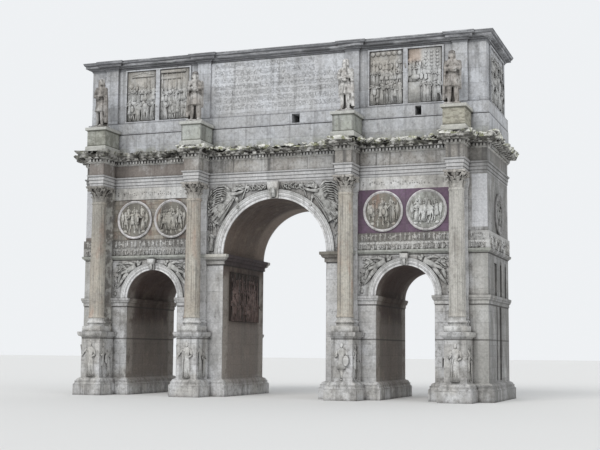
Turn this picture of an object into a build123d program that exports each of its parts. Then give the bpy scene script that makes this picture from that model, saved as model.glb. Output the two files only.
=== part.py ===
"""A Roman triumphal arch of marble with three passages, eight free columns and a hollow attic.

The frame: X runs along the two long faces, Y through the passages, Z up from the paving.
The origin is at the middle of the arch on the ground. Lengths are in millimetres.
"""

from build123d import *
from math import cos, radians, sin
import os

os.makedirs("parts", exist_ok=True)

# Plan, from the centre line outwards
central_opening = 6500
side_opening = 3400
inner_pier = 2985
outer_pier = 3000
body_depth = 6540
column_advance = 1060

# Heights of the lower storey, from the paving
pedestal_plinth = 650
pedestal_moulding = 400
pedestal_die = 2350
pedestal_cap = 380
column_base_height = 820
shaft_height = 7080
capital_height = 960
side_springing = 5860
side_impost_height = 490
central_springing = 8420
central_impost_height = 600
side_block_top = 8220
string_height = 230
small_frieze_height = 970
head_band_height = 720

# Widths of the standing pieces
pedestal_width = 1240
pedestal_foot_reach = 330
pedestal_cap_reach = 205
column_foot_diameter = 930
column_head_diameter = 830
flute_count = 24
flute_radius = 43
pilaster_width = 850
pilaster_relief = 170
abacus_width = 1230

# Arch rings, roundels and facings
side_archivolt_width = 420
central_archivolt_width = 520
archivolt_relief = 130
keystone_reach = 380
roundel_diameter = 2360
roundel_gap = 170
roundel_relief = 150
facing_relief = 45
small_frieze_relief = 90

# Entablature
architrave_height = 680
frieze_height = 730
cornice_height = 770
cornice_reach = 750
ressaut_width = 930

# Attic
attic_setback_x = 35
attic_setback_y = 270
attic_plinth_height = 1260
window_course_height = 720
attic_wall_height = 3400
attic_cornice_height = 800
attic_cornice_reach = 480
attic_weathering = 220
attic_wall_thickness = 1100
attic_plinth_reach = 170
attic_plinth_joint = 45
window_course_reach = 150
roof_thickness = 300
roof_sink = 150
window_height = 540
central_window_width = 500
central_window_x = 1250
bay_window_width = 360
bay_window_x = 8700
window_sill = 90

# Statues and the carved slabs of the attic
statue_height = 3180
statue_pedestal_height = 1460
statue_pedestal_width = 1240
statue_pedestal_cap_reach = 110
attic_pilaster_relief = 160
relief_field_width = 2020
relief_field_gap = 280
slab_relief = 110
slab_border = 95
end_slab_width = 4300
passage_slab_width = 4560
passage_slab_height = 2960
passage_slab_foot = 4480

# Upright recesses and channels in the right-hand end, each as (middle along Y, width)
end_recesses = [(-1000, 850), (700, 480), (2250, 380)]
end_recess_depth = 110
end_recess_drop = 460
end_channels = [(-650, 180), (480, 520)]
end_channel_depth = 240
end_channel_foot = 1150
end_channel_drop = 60

# Worked out from the sizes above
body_half = central_opening / 2 + inner_pier + side_opening + outer_pier
face = body_depth / 2
inner_column_x = central_opening / 2 + inner_pier / 2
side_arch_x = central_opening / 2 + inner_pier + side_opening / 2
outer_column_x = body_half - outer_pier / 2
column_y = face + column_advance
pedestal_height = pedestal_plinth + pedestal_moulding + pedestal_die + pedestal_cap
shaft_foot = pedestal_height + column_base_height
capital_foot = shaft_foot + shaft_height
architrave_foot = capital_foot + capital_height
frieze_foot = architrave_foot + architrave_height
cornice_foot = frieze_foot + frieze_height
cornice_top = cornice_foot + cornice_height
attic_half = body_half - attic_setback_x
attic_face = face - attic_setback_y
window_course_foot = cornice_top + attic_plinth_height
attic_wall_foot = window_course_foot + window_course_height
attic_cornice_foot = attic_wall_foot + attic_wall_height
attic_top = attic_cornice_foot + attic_cornice_height
attic_cornice_edge = attic_top - attic_weathering
side_impost_foot = side_springing - side_impost_height
string_top = side_block_top + string_height
small_frieze_top = string_top + small_frieze_height
head_band_foot = architrave_foot - head_band_height
bay_left = inner_column_x + pilaster_width / 2
bay_right = outer_column_x - pilaster_width / 2
bay_middle = (bay_left + bay_right) / 2
roundel_x = (roundel_diameter + roundel_gap) / 2
roundel_z = (small_frieze_top + head_band_foot) / 2
column_places = [
    (-outer_column_x, -column_y),
    (-inner_column_x, -column_y),
    (inner_column_x, -column_y),
    (outer_column_x, -column_y),
    (-outer_column_x, column_y),
    (-inner_column_x, column_y),
    (inner_column_x, column_y),
    (outer_column_x, column_y),
]


def facing_plane(x, y):
    """Upright plane across Y through (x, y), with its own X along the arch."""
    return Plane(origin=(x, y, 0), x_dir=(1, 0, 0), z_dir=(0, -1, 0))


def end_plane(x, y):
    """Upright plane across X through (x, y), with its own X along the passages."""
    return Plane(origin=(x, y, 0), x_dir=(0, 1, 0), z_dir=(1, 0, 0))


def profile_edges(half, steps):
    """Half of a course seen end on. A step is (reach, height) or (reach, height, bulge),
    where the bulge is the rise of a round stretch as a share of its chord."""
    with BuildLine() as outline:
        for start, end in zip(steps, steps[1:]):
            a = (half + start[0], start[1])
            b = (half + end[0], end[1])
            if len(end) == 2:
                Line(a, b)
            else:
                chord = ((a[0] - b[0]) ** 2 + (a[1] - b[1]) ** 2) ** 0.5
                SagittaArc(a, b, end[2] * chord)
        Polyline(
            (half + steps[-1][0], steps[-1][1]),
            (0, steps[-1][1]),
            (0, steps[0][1]),
            (half + steps[0][0], steps[0][1]),
        )
    return outline.line


def moulded_block(x, y, half_x, half_y, steps):
    """A rectangular block whose four sides carry the same mouldings, mitred at the corners."""
    reach = max(step[0] for step in steps) + 10
    with BuildPart() as block:
        with BuildSketch(facing_plane(x, y)):
            add(profile_edges(half_x, steps))
            make_face()
            mirror(about=Plane.YZ)
        extrude(amount=half_y + reach, both=True)
        with BuildSketch(end_plane(x, y)):
            add(profile_edges(half_y, steps))
            make_face()
            mirror(about=Plane.YZ)
        extrude(amount=half_x + reach, both=True, mode=Mode.INTERSECT)
    return block.part


def plain_block(x0, x1, y0, y1, z0, z1):
    """A squared block between two corners."""
    with BuildPart() as block:
        with Locations(((x0 + x1) / 2, (y0 + y1) / 2, (z0 + z1) / 2)):
            Box(x1 - x0, y1 - y0, z1 - z0)
    return block.part


def on_four_quarters(shape):
    """The shape with its mirror images across the two middle planes."""
    across = mirror(shape, about=Plane.YZ)
    return [shape, across, mirror(shape, about=Plane.XZ), mirror(across, about=Plane.XZ)]


def save(piece, name):
    """Labels a finished piece and writes it as its own file."""
    piece.part.label = name
    export_step(piece.part, f"parts/{name}.step")


# Moulding profiles, from the foot up

pier_base_steps = [
    (pedestal_foot_reach, 0),
    (pedestal_foot_reach, pedestal_plinth),
    (pedestal_foot_reach - 60, pedestal_plinth + 0.45 * pedestal_moulding, 0.25),
    (pedestal_foot_reach - 120, pedestal_plinth + 0.5 * pedestal_moulding),
    (40, pedestal_plinth + 0.9 * pedestal_moulding, -0.18),
    (0, pedestal_plinth + pedestal_moulding),
]


def impost_steps(foot, height, reach):
    """Impost band: a narrow necking, a hollow and a flat crowning fillet."""
    return [
        (0.25 * reach, foot),
        (0.25 * reach, foot + 0.38 * height),
        (0.75 * reach, foot + 0.66 * height, -0.2),
        (reach, foot + 0.72 * height),
        (reach, foot + height),
    ]


def column_base_steps(foot, height, reach):
    """The square version of the column base, for the pilasters."""
    return [
        (reach, foot),
        (reach, foot + 0.42 * height),
        (0.72 * reach, foot + 0.68 * height, 0.3),
        (0.4 * reach, foot + 0.8 * height, -0.25),
        (0.35 * reach, foot + 0.94 * height, 0.3),
        (0, foot + height),
    ]


pedestal_steps = pier_base_steps + [
    (0, pedestal_height - pedestal_cap),
    (0.45 * pedestal_cap_reach, pedestal_height - 0.72 * pedestal_cap, 0.2),
    (0.9 * pedestal_cap_reach, pedestal_height - 0.4 * pedestal_cap, -0.2),
    (pedestal_cap_reach, pedestal_height - 0.38 * pedestal_cap),
    (pedestal_cap_reach, pedestal_height),
]

architrave_steps = [
    (0, architrave_foot),
    (0, architrave_foot + 0.27 * architrave_height),
    (28, architrave_foot + 0.27 * architrave_height),
    (28, architrave_foot + 0.56 * architrave_height),
    (56, architrave_foot + 0.56 * architrave_height),
    (56, architrave_foot + 0.84 * architrave_height),
    (125, frieze_foot - 0.05 * architrave_height, -0.2),
    (140, frieze_foot),
    (20, frieze_foot),
    (20, cornice_foot),
]

cornice_steps = [
    (20, cornice_foot),
    (100, cornice_foot + 0.12 * cornice_height, 0.15),
    (100, cornice_foot + 0.34 * cornice_height),
    (0.34 * cornice_reach, cornice_foot + 0.42 * cornice_height, 0.08),
    (0.8 * cornice_reach, cornice_foot + 0.46 * cornice_height),
    (0.8 * cornice_reach, cornice_foot + 0.7 * cornice_height),
    (0.97 * cornice_reach, cornice_foot + 0.93 * cornice_height, -0.15),
    (cornice_reach, cornice_foot + 0.93 * cornice_height),
    (cornice_reach, cornice_top),
]

attic_plinth_steps = [
    (attic_plinth_reach, cornice_top),
    (attic_plinth_reach, window_course_foot - attic_plinth_joint),
    (attic_plinth_reach - 70, window_course_foot - attic_plinth_joint),
    (attic_plinth_reach - 70, window_course_foot),
]

attic_moulding_height = attic_cornice_edge - attic_cornice_foot
attic_cornice_steps = [
    (0, attic_cornice_foot),
    (0.1 * attic_cornice_reach, attic_cornice_foot + 0.1 * attic_moulding_height, 0.2),
    (0.1 * attic_cornice_reach, attic_cornice_foot + 0.24 * attic_moulding_height),
    (0.3 * attic_cornice_reach, attic_cornice_foot + 0.4 * attic_moulding_height, -0.2),
    (0.74 * attic_cornice_reach, attic_cornice_foot + 0.44 * attic_moulding_height),
    (0.74 * attic_cornice_reach, attic_cornice_foot + 0.66 * attic_moulding_height),
    (0.96 * attic_cornice_reach, attic_cornice_foot + 0.9 * attic_moulding_height, -0.15),
    (attic_cornice_reach, attic_cornice_foot + 0.9 * attic_moulding_height),
    (attic_cornice_reach, attic_cornice_edge),
    (-0.9 * attic_cornice_reach, attic_top),
]

statue_pedestal_steps = [
    (90, cornice_top),
    (90, cornice_top + 0.14 * statue_pedestal_height),
    (0, cornice_top + 0.22 * statue_pedestal_height, -0.2),
    (0, cornice_top + 0.8 * statue_pedestal_height),
    (0.8 * statue_pedestal_cap_reach, cornice_top + 0.88 * statue_pedestal_height, 0.2),
    (statue_pedestal_cap_reach, cornice_top + 0.89 * statue_pedestal_height),
    (statue_pedestal_cap_reach, cornice_top + statue_pedestal_height),
]


# Masonry of the lower storey


def pier(x, width):
    """One pier from the paving to the side springing, with its base mouldings."""
    steps = pier_base_steps + [(0, side_springing)]
    return moulded_block(x, 0, width / 2, face, steps)


def side_arch_block():
    """The blocks over one side passage, with the barrel vault cut through them."""
    with BuildPart() as block:
        add(plain_block(central_opening / 2, body_half, -face, face, side_springing, side_block_top))
        with BuildSketch(Plane.XZ.offset(-face)):
            with Locations((side_arch_x, side_springing)):
                Circle(side_opening / 2)
        extrude(amount=body_depth, mode=Mode.SUBTRACT)
    return block.part


def central_arch_block():
    """The blocks over the central passage, as far as the inner columns."""
    with BuildPart() as block:
        add(
            plain_block(
                -inner_column_x, inner_column_x, -face, face, side_block_top, architrave_foot
            )
        )
        with BuildSketch(Plane.XZ.offset(-face)):
            with Locations((0, central_springing)):
                Circle(central_opening / 2)
            with Locations((0, (side_block_top + central_springing) / 2)):
                Rectangle(central_opening, central_springing - side_block_top)
        extrude(amount=body_depth, mode=Mode.SUBTRACT)
    return block.part


def end_cuts(places, depth, foot, top):
    """Upright blocks that sink into the right-hand end, one for each (middle, width)."""
    return [
        plain_block(body_half - depth, body_half, middle - width / 2, middle + width / 2, foot, top)
        for middle, width in places
    ]


def pilaster():
    """The flat pilaster behind one column, in front and to the right of the middle."""
    reach = 0.45 * pilaster_relief
    steps = column_base_steps(pedestal_height, column_base_height, reach) + [
        (0, capital_foot),
        (30, capital_foot + 0.1 * capital_height),
        (0, capital_foot + 0.1 * capital_height),
        (0.5 * reach, architrave_foot - 0.14 * capital_height, -0.1),
        (reach, architrave_foot - 0.12 * capital_height),
        (reach, architrave_foot),
    ]
    return moulded_block(0, 0, pilaster_width / 2, face + pilaster_relief, steps)


pilaster_core = pilaster()
body_core = plain_block(-body_half, body_half, -face, face, 0, architrave_foot)
pilaster_shapes = []
for column_x in (-outer_column_x, -inner_column_x, inner_column_x, outer_column_x):
    with BuildPart() as pilaster_pair:
        add(Location((column_x, 0, 0)) * pilaster_core)
        add(body_core, mode=Mode.SUBTRACT)
    pilaster_shapes += pilaster_pair.part.solids()

with BuildPart() as pilasters:
    add(pilaster_shapes)
save(pilasters, "pilasters")

pier_shapes = []
for side, hand in ((-1, "left"), (1, "right")):
    for x, width, name in (
        (inner_column_x, inner_pier, "inner_pier"),
        (outer_column_x, outer_pier, "outer_pier"),
    ):
        with BuildPart() as one_pier:
            add(pier(side * x, width))
            if (name, hand) == ("outer_pier", "right"):
                channel_top = side_impost_foot - end_channel_drop
                add(end_cuts(end_channels, end_channel_depth, end_channel_foot, channel_top), mode=Mode.SUBTRACT)
        save(one_pier, f"{name}_{hand}")
        pier_shapes.append(one_pier.part)

side_block = side_arch_block()
upper_block = plain_block(inner_column_x, body_half, -face, face, side_block_top, architrave_foot)
recess_top = side_block_top - end_recess_drop
with BuildPart() as side_arch_right:
    add(side_block)
    add(end_cuts(end_recesses, end_recess_depth, side_springing, recess_top), mode=Mode.SUBTRACT)
with BuildPart() as side_arch_left:
    add(mirror(side_block, about=Plane.YZ))
with BuildPart() as upper_bay_right:
    add(upper_block)
with BuildPart() as upper_bay_left:
    add(mirror(upper_block, about=Plane.YZ))
with BuildPart() as central_arch:
    add(central_arch_block())
save(side_arch_right, "side_arch_right")
save(side_arch_left, "side_arch_left")
save(upper_bay_right, "upper_bay_right")
save(upper_bay_left, "upper_bay_left")
save(central_arch, "central_arch")


# Pedestals, bases, shafts and capitals of the columns

pedestal_back = face - 200
pedestal_half_depth = (column_advance + pedestal_width / 2 + 200) / 2
pedestal_y = column_y + pedestal_width / 2 - pedestal_half_depth
pedestal_core = moulded_block(
    inner_column_x, -pedestal_y, pedestal_width / 2, pedestal_half_depth, pedestal_steps
)
outer_shift = Location((outer_column_x - inner_column_x, 0, 0))
with BuildPart() as pedestals:
    add(on_four_quarters(pedestal_core))
    add(on_four_quarters(outer_shift * pedestal_core))
    add(pier_shapes, mode=Mode.SUBTRACT)
save(pedestals, "pedestals")

base_radius = pedestal_width / 2
foot_radius = column_foot_diameter / 2
head_radius = column_head_diameter / 2
with BuildPart() as column_base:
    with BuildSketch(Plane.XY.offset(pedestal_height)):
        Rectangle(2 * base_radius, 2 * base_radius)
    extrude(amount=0.4 * column_base_height)
    with BuildSketch(Plane.XZ):
        with BuildLine():
            low = pedestal_height + 0.4 * column_base_height
            Line((0, low), (base_radius - 60, low))
            SagittaArc((base_radius - 60, low), (base_radius - 75, low + 190), 60)
            SagittaArc(
                (base_radius - 75, low + 190), (foot_radius + 45, low + 0.34 * column_base_height), -28
            )
            SagittaArc((foot_radius + 45, low + 0.34 * column_base_height), (foot_radius + 25, shaft_foot), 38)
            Line((foot_radius + 25, shaft_foot), (0, shaft_foot))
            Line((0, shaft_foot), (0, low))
        make_face()
    revolve(axis=Axis.Z)


def fluted_section(height, radius):
    """Sketch of the shaft at one height."""
    with BuildSketch(Plane.XY.offset(height)) as section:
        Circle(radius)
        with PolarLocations(radius + 0.25 * flute_radius, flute_count):
            Circle(flute_radius, mode=Mode.SUBTRACT)
    return section.sketch


with BuildPart() as column_shaft:
    with BuildSketch(Plane.XY.offset(shaft_foot)):
        Circle(foot_radius + 20)
    with BuildSketch(Plane.XY.offset(shaft_foot + 120)):
        Circle(foot_radius)
    loft()
    add(
        loft(
            [
                fluted_section(shaft_foot + 120, foot_radius),
                fluted_section(capital_foot - 150, head_radius),
            ],
            ruled=True,
            mode=Mode.PRIVATE,
        )
    )
    with BuildSketch(Plane.XY.offset(capital_foot - 150)):
        Circle(head_radius)
    extrude(amount=150)


def leaf(radius, foot, height, width, curl):
    """One upright leaf of a capital that leans out and curls over at its tip."""
    with BuildPart() as shape:
        with BuildSketch(Plane.XZ):
            with BuildLine():
                Polyline(
                    (radius - 60, foot),
                    (radius + 25, foot),
                    (radius + 30, foot + 0.55 * height),
                    (radius + 0.55 * curl, foot + 0.86 * height),
                    (radius + curl, foot + 0.84 * height),
                    (radius + 0.9 * curl, foot + height),
                    (radius + 0.35 * curl, foot + height),
                    (radius - 60, foot + 0.6 * height),
                    close=True,
                )
            make_face()
        extrude(amount=width / 2, both=True)
        with BuildSketch(Plane.YZ):
            with Locations((0, foot)):
                with BuildLine():
                    Polyline(
                        (-width / 2, foot),
                        (width / 2, foot),
                        (width / 2, foot + 0.7 * height),
                        (0.28 * width, foot + height),
                        (-0.28 * width, foot + height),
                        (-width / 2, foot + 0.7 * height),
                        close=True,
                    )
                make_face()
        extrude(amount=2 * radius + curl, mode=Mode.INTERSECT)
    return shape.part


leaf_width = 2 * 3.14159 * (head_radius - 20) / 8 * 0.92
lower_leaf = leaf(head_radius - 60, capital_foot + 60, 0.36 * capital_height, leaf_width, 135)
upper_leaf = leaf(head_radius - 50, capital_foot + 60, 0.64 * capital_height, 0.85 * leaf_width, 175)
volute = leaf(head_radius - 30, capital_foot + 0.5 * capital_height, 0.38 * capital_height, 120, 330)
with BuildPart() as capital:
    with BuildSketch(Plane.XZ):
        with BuildLine():
            bell_top = capital_foot + 0.87 * capital_height
            Line((0, capital_foot), (head_radius, capital_foot))
            SagittaArc((head_radius, capital_foot), (head_radius, capital_foot + 60), 25)
            Line((head_radius, capital_foot + 60), (head_radius - 45, capital_foot + 60))
            Line((head_radius - 45, capital_foot + 60), (head_radius - 30, capital_foot + 0.6 * capital_height))
            SagittaArc(
                (head_radius - 30, capital_foot + 0.6 * capital_height), (head_radius + 75, bell_top), -30
            )
            Line((head_radius + 75, bell_top), (0, bell_top))
            Line((0, bell_top), (0, capital_foot))
        make_face()
    revolve(axis=Axis.Z)
    for turn in range(8):
        add(Rot(0, 0, 45 * turn) * lower_leaf)
        add(Rot(0, 0, 45 * turn + 22.5) * upper_leaf)
    for turn in range(4):
        add(Rot(0, 0, 90 * turn + 45) * volute)
    with BuildSketch(Plane.XY.offset(bell_top)):
        Rectangle(abacus_width, abacus_width)
        with PolarLocations(abacus_width / 2 + 790, 4):
            Circle(880, mode=Mode.SUBTRACT)
    extrude(amount=architrave_foot - bell_top)

for piece, name in (
    (column_base, "column_bases"),
    (column_shaft, "column_shafts"),
    (capital, "capitals"),
):
    with BuildPart() as set_of_eight:
        for x, y in column_places:
            add(Location((x, y, 0)) * piece.part)
    save(set_of_eight, name)


# Imposts, string courses and facings

with BuildPart() as side_imposts:
    impost_profile = impost_steps(side_impost_foot, side_impost_height, 150)
    add(on_four_quarters(moulded_block(outer_column_x, 0, outer_pier / 2, face, impost_profile))[:2])
    inner_half = inner_pier / 4
    add(
        on_four_quarters(
            moulded_block(inner_column_x + inner_half, 0, inner_half, face, impost_profile)
        )[:2]
    )
    add(pier_shapes, mode=Mode.SUBTRACT)
    add(pilaster_shapes, mode=Mode.SUBTRACT)
save(side_imposts, "side_imposts")

with BuildPart() as central_imposts:
    central_profile = impost_steps(central_springing - central_impost_height, central_impost_height, 330)
    add(
        on_four_quarters(
            moulded_block(inner_column_x - inner_half, 0, inner_half, face, central_profile)
        )[:2]
    )
    add(
        [
            side_arch_left.part,
            side_arch_right.part,
            upper_bay_left.part,
            upper_bay_right.part,
            central_arch.part,
        ],
        mode=Mode.SUBTRACT,
    )
    add(pilaster_shapes, mode=Mode.SUBTRACT)
save(central_imposts, "central_imposts")


def face_course(steps):
    """A course that runs from the inner columns round each end of the arch."""
    half = (body_half - inner_column_x) / 2
    block = moulded_block(inner_column_x + half, 0, half, face, steps)
    return on_four_quarters(block)[:2]


string_steps = [
    (50, side_block_top),
    (60, side_block_top + 0.25 * string_height),
    (150, side_block_top + 0.62 * string_height, -0.2),
    (165, side_block_top + 0.66 * string_height),
    (165, string_top),
]
central_cut = plain_block(-inner_column_x, inner_column_x, -2 * face, 2 * face, 0, architrave_foot)
with BuildPart() as string_courses:
    add(face_course(string_steps))
    add([upper_bay_left.part, upper_bay_right.part, central_cut], mode=Mode.SUBTRACT)
    add(pilaster_shapes, mode=Mode.SUBTRACT)
save(string_courses, "string_courses")

with BuildPart() as small_friezes:
    add(face_course([(small_frieze_relief, string_top), (small_frieze_relief, small_frieze_top)]))
    add([upper_bay_left.part, upper_bay_right.part, central_cut], mode=Mode.SUBTRACT)
    add(pilaster_shapes, mode=Mode.SUBTRACT)
save(small_friezes, "small_friezes")

with BuildPart() as head_bands:
    band = plain_block(bay_left, bay_right, -face - facing_relief, -face, head_band_foot, architrave_foot)
    add(on_four_quarters(band))
    add(pilaster_shapes, mode=Mode.SUBTRACT)
save(head_bands, "head_bands")


def roundel():
    """A round slab with a raised rim, standing on the wall face."""
    radius = roundel_diameter / 2
    with BuildPart() as disc:
        with BuildSketch(Plane.XY):
            with BuildLine():
                Line((0, -face), (radius, -face))
                Line((radius, -face), (radius, -face - 0.7 * roundel_relief))
                Line((radius, -face - 0.7 * roundel_relief), (radius - 60, -face - roundel_relief))
                Line((radius - 60, -face - roundel_relief), (radius - 150, -face - 0.45 * roundel_relief))
                Line((radius - 150, -face - 0.45 * roundel_relief), (0, -face - 0.45 * roundel_relief))
                Line((0, -face - 0.45 * roundel_relief), (0, -face))
            make_face()
        revolve(axis=Axis.Y)
    return disc.part


roundel_shape = roundel()
with BuildPart() as roundels:
    for x in (bay_middle - roundel_x, bay_middle + roundel_x):
        add(on_four_quarters(Location((x, 0, roundel_z)) * roundel_shape))
    end_roundel = Location((body_half - face, 0, roundel_z)) * (Rot(0, 0, 90) * roundel_shape)
    add(on_four_quarters(end_roundel)[:2])
save(roundels, "roundels")

with BuildPart() as porphyry_veneers:
    veneer = plain_block(bay_left, bay_right, -face - facing_relief, -face, small_frieze_top, head_band_foot)
    add(veneer)
    add(Rot(0, 0, 180) * veneer)
    add(roundels.part, mode=Mode.SUBTRACT)
    add(pilaster_shapes, mode=Mode.SUBTRACT)
save(porphyry_veneers, "porphyry_veneers")


# Rings of the arches and their keystones


def archivolt(x, springing, radius, width):
    """A half ring of three bands on the front face."""
    with BuildPart() as ring:
        with BuildSketch(Plane.XY.offset(springing)):
            with BuildLine():
                Polyline(
                    (x + radius, -face),
                    (x + radius, -face - 0.4 * archivolt_relief),
                    (x + radius + 0.34 * width, -face - 0.4 * archivolt_relief),
                    (x + radius + 0.34 * width, -face - 0.65 * archivolt_relief),
                    (x + radius + 0.68 * width, -face - 0.65 * archivolt_relief),
                    (x + radius + 0.9 * width, -face - archivolt_relief),
                    (x + radius + width, -face - archivolt_relief),
                    (x + radius + width, -face),
                    close=True,
                )
            make_face()
        revolve(axis=Axis((x, 0, springing), (0, -1, 0)), revolution_arc=180)
    return ring.part


def keystone(x, foot, top, foot_width, top_width):
    """A console that widens and swells forward towards its top."""
    height = top - foot
    with BuildPart() as stone:
        with BuildSketch(end_plane(x, 0)):
            with BuildLine():
                Line((-face, foot), (-face - 0.5 * keystone_reach, foot))
                SagittaArc(
                    (-face - 0.5 * keystone_reach, foot),
                    (-face - 0.62 * keystone_reach, foot + 0.5 * height),
                    -0.08 * height,
                )
                SagittaArc(
                    (-face - 0.62 * keystone_reach, foot + 0.5 * height),
                    (-face - keystone_reach, top - 0.1 * height),
                    0.1 * height,
                )
                Line((-face - keystone_reach, top - 0.1 * height), (-face - keystone_reach, top))
                Line((-face - keystone_reach, top), (-face, top))
                Line((-face, top), (-face, foot))
            make_face()
        extrude(amount=top_width, both=True)
        with BuildSketch(facing_plane(x, -face)):
            with BuildLine():
                Polyline(
                    (-foot_width / 2, foot),
                    (foot_width / 2, foot),
                    (top_width / 2, top),
                    (-top_width / 2, top),
                    close=True,
                )
            make_face()
        extrude(amount=keystone_reach, mode=Mode.INTERSECT)
    return stone.part


central_crown = central_springing + central_opening / 2
side_crown = side_springing + side_opening / 2
central_key = keystone(0, central_crown, architrave_foot, 520, 700)
side_key = keystone(side_arch_x, side_crown, side_block_top, 340, 460)
with BuildPart() as keystones:
    add([central_key, mirror(central_key, about=Plane.XZ)])
    add(on_four_quarters(side_key))
save(keystones, "keystones")

with BuildPart() as side_archivolts:
    ring = archivolt(side_arch_x, side_springing, side_opening / 2, side_archivolt_width)
    add(on_four_quarters(ring))
    add(keystones.part, mode=Mode.SUBTRACT)
save(side_archivolts, "side_archivolts")

with BuildPart() as central_archivolts:
    ring = archivolt(0, central_springing, central_opening / 2, central_archivolt_width)
    add([ring, mirror(ring, about=Plane.XZ)])
    add(keystones.part, mode=Mode.SUBTRACT)
save(central_archivolts, "central_archivolts")

with BuildPart() as passage_reliefs:
    slab = plain_block(
        -central_opening / 2,
        -central_opening / 2 + slab_relief,
        -passage_slab_width / 2,
        passage_slab_width / 2,
        passage_slab_foot,
        passage_slab_foot + passage_slab_height,
    )
    add([slab, mirror(slab, about=Plane.YZ)])
save(passage_reliefs, "passage_reliefs")


# Entablature

with BuildPart() as entablature:
    add(moulded_block(0, 0, body_half, face, architrave_steps))
save(entablature, "entablature")

with BuildPart() as main_cornice:
    add(moulded_block(0, 0, body_half, face, cornice_steps))
save(main_cornice, "main_cornice")

ressaut_half_depth = (column_advance + ressaut_width / 2 + 200) / 2
ressaut_y = column_y + ressaut_width / 2 - ressaut_half_depth
ressaut_core = moulded_block(
    inner_column_x,
    -ressaut_y,
    ressaut_width / 2,
    ressaut_half_depth,
    architrave_steps[:-1] + cornice_steps,
)
with BuildPart() as ressauts:
    add(on_four_quarters(ressaut_core))
    add(on_four_quarters(outer_shift * ressaut_core))
    add([entablature.part, main_cornice.part], mode=Mode.SUBTRACT)
save(ressauts, "ressauts")


# Attic: plinth, window course, walls, pilasters, cornice and roof

with BuildPart() as attic_plinth:
    add(moulded_block(0, 0, attic_half, attic_face, attic_plinth_steps))
save(attic_plinth, "attic_plinth")


def attic_wall(x0, x1, y0, y1, z0, z1):
    """A squared stretch of attic wall."""
    return plain_block(x0, x1, y0, y1, z0, z1)


inner_attic_half = attic_half - attic_wall_thickness
inner_attic_face = attic_face - attic_wall_thickness
window_foot = window_course_foot + window_sill
course_half = attic_half + window_course_reach
course_face = attic_face + window_course_reach
long_course = attic_wall(
    -course_half, course_half, -course_face, -inner_attic_face, window_course_foot, attic_wall_foot
)
with BuildPart() as window_course_front:
    add(long_course)
    for x, width in (
        (central_window_x, central_window_width),
        (bay_window_x, bay_window_width),
    ):
        window_left = x - width / 2
        window_right = x + width / 2
        add(
            plain_block(
                window_left,
                window_right,
                -course_face,
                -inner_attic_face,
                window_foot,
                window_foot + window_height,
            ),
            mode=Mode.SUBTRACT,
        )
with BuildPart() as window_course_rear:
    add(Rot(0, 0, 180) * window_course_front.part)
save(window_course_front, "window_course_front")
save(window_course_rear, "window_course_rear")

long_wall = attic_wall(
    -attic_half, attic_half, -attic_face, -inner_attic_face, attic_wall_foot, attic_cornice_foot
)
end_wall = attic_wall(
    inner_attic_half,
    attic_half,
    -inner_attic_face,
    inner_attic_face,
    attic_wall_foot,
    attic_cornice_foot,
)
end_course = attic_wall(
    inner_attic_half,
    course_half,
    -inner_attic_face,
    inner_attic_face,
    window_course_foot,
    attic_wall_foot,
)
with BuildPart() as attic_wall_front:
    add(long_wall)
with BuildPart() as attic_wall_rear:
    add(mirror(long_wall, about=Plane.XZ))
with BuildPart() as attic_wall_right:
    add([end_wall, end_course])
with BuildPart() as attic_wall_left:
    add(mirror(attic_wall_right.part, about=Plane.YZ))
save(attic_wall_front, "attic_wall_front")
save(attic_wall_rear, "attic_wall_rear")
save(attic_wall_right, "attic_wall_right")
save(attic_wall_left, "attic_wall_left")

attic_pilaster_y = -attic_face - attic_pilaster_relief
with BuildPart() as attic_pilasters:
    for x in (inner_column_x, outer_column_x):
        strip = plain_block(
            x - pilaster_width / 2,
            x + pilaster_width / 2,
            attic_pilaster_y,
            -attic_face,
            attic_wall_foot,
            attic_cornice_foot,
        )
        add(on_four_quarters(strip))
save(attic_pilasters, "attic_pilasters")


def framed_slab(x, width, fields):
    """A raised slab on the front of the attic, with a sunk field for each (middle, width)."""
    with BuildPart() as slab:
        add(
            plain_block(
                x - width / 2,
                x + width / 2,
                -attic_face - slab_relief,
                -attic_face,
                attic_wall_foot,
                attic_cornice_foot,
            )
        )
        for middle, field_width in fields:
            add(
                plain_block(
                    x + middle - field_width / 2,
                    x + middle + field_width / 2,
                    -attic_face - slab_relief,
                    -attic_face - 0.25 * slab_relief,
                    attic_wall_foot + slab_border,
                    attic_cornice_foot - slab_border,
                ),
                mode=Mode.SUBTRACT,
            )
    return slab.part


field_x = (relief_field_width + relief_field_gap) / 2
pair_width = 2 * (field_x + relief_field_width / 2 + slab_border)
pair_fields = [(-field_x, relief_field_width), (field_x, relief_field_width)]
with BuildPart() as attic_reliefs:
    add(on_four_quarters(framed_slab(bay_middle, pair_width, pair_fields)))
    end_slab = framed_slab(0, end_slab_width, [(0, end_slab_width - 2 * slab_border)])
    end_slab = Location((attic_half - attic_face, 0, 0)) * (Rot(0, 0, 90) * end_slab)
    add(on_four_quarters(end_slab)[:2])
save(attic_reliefs, "attic_reliefs")

inscription_half = inner_column_x - pilaster_width / 2
with BuildPart() as tablet_slabs:
    tablet = plain_block(
        -inscription_half,
        inscription_half,
        -attic_face - facing_relief,
        -attic_face,
        attic_wall_foot,
        attic_cornice_foot,
    )
    add([tablet, mirror(tablet, about=Plane.XZ)])
save(tablet_slabs, "tablet_slabs")

with BuildPart() as attic_cornice:
    add(moulded_block(0, 0, attic_half, attic_face, attic_cornice_steps))
    for x in (-outer_column_x, -inner_column_x, inner_column_x, outer_column_x):
        break_face = attic_face + attic_pilaster_relief
        add(moulded_block(x, 0, pilaster_width / 2, break_face, attic_cornice_steps[:-1]))
    add(
        plain_block(
            -inner_attic_half,
            inner_attic_half,
            -inner_attic_face,
            inner_attic_face,
            attic_cornice_foot,
            attic_top,
        ),
        mode=Mode.SUBTRACT,
    )
save(attic_cornice, "attic_cornice")

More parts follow.
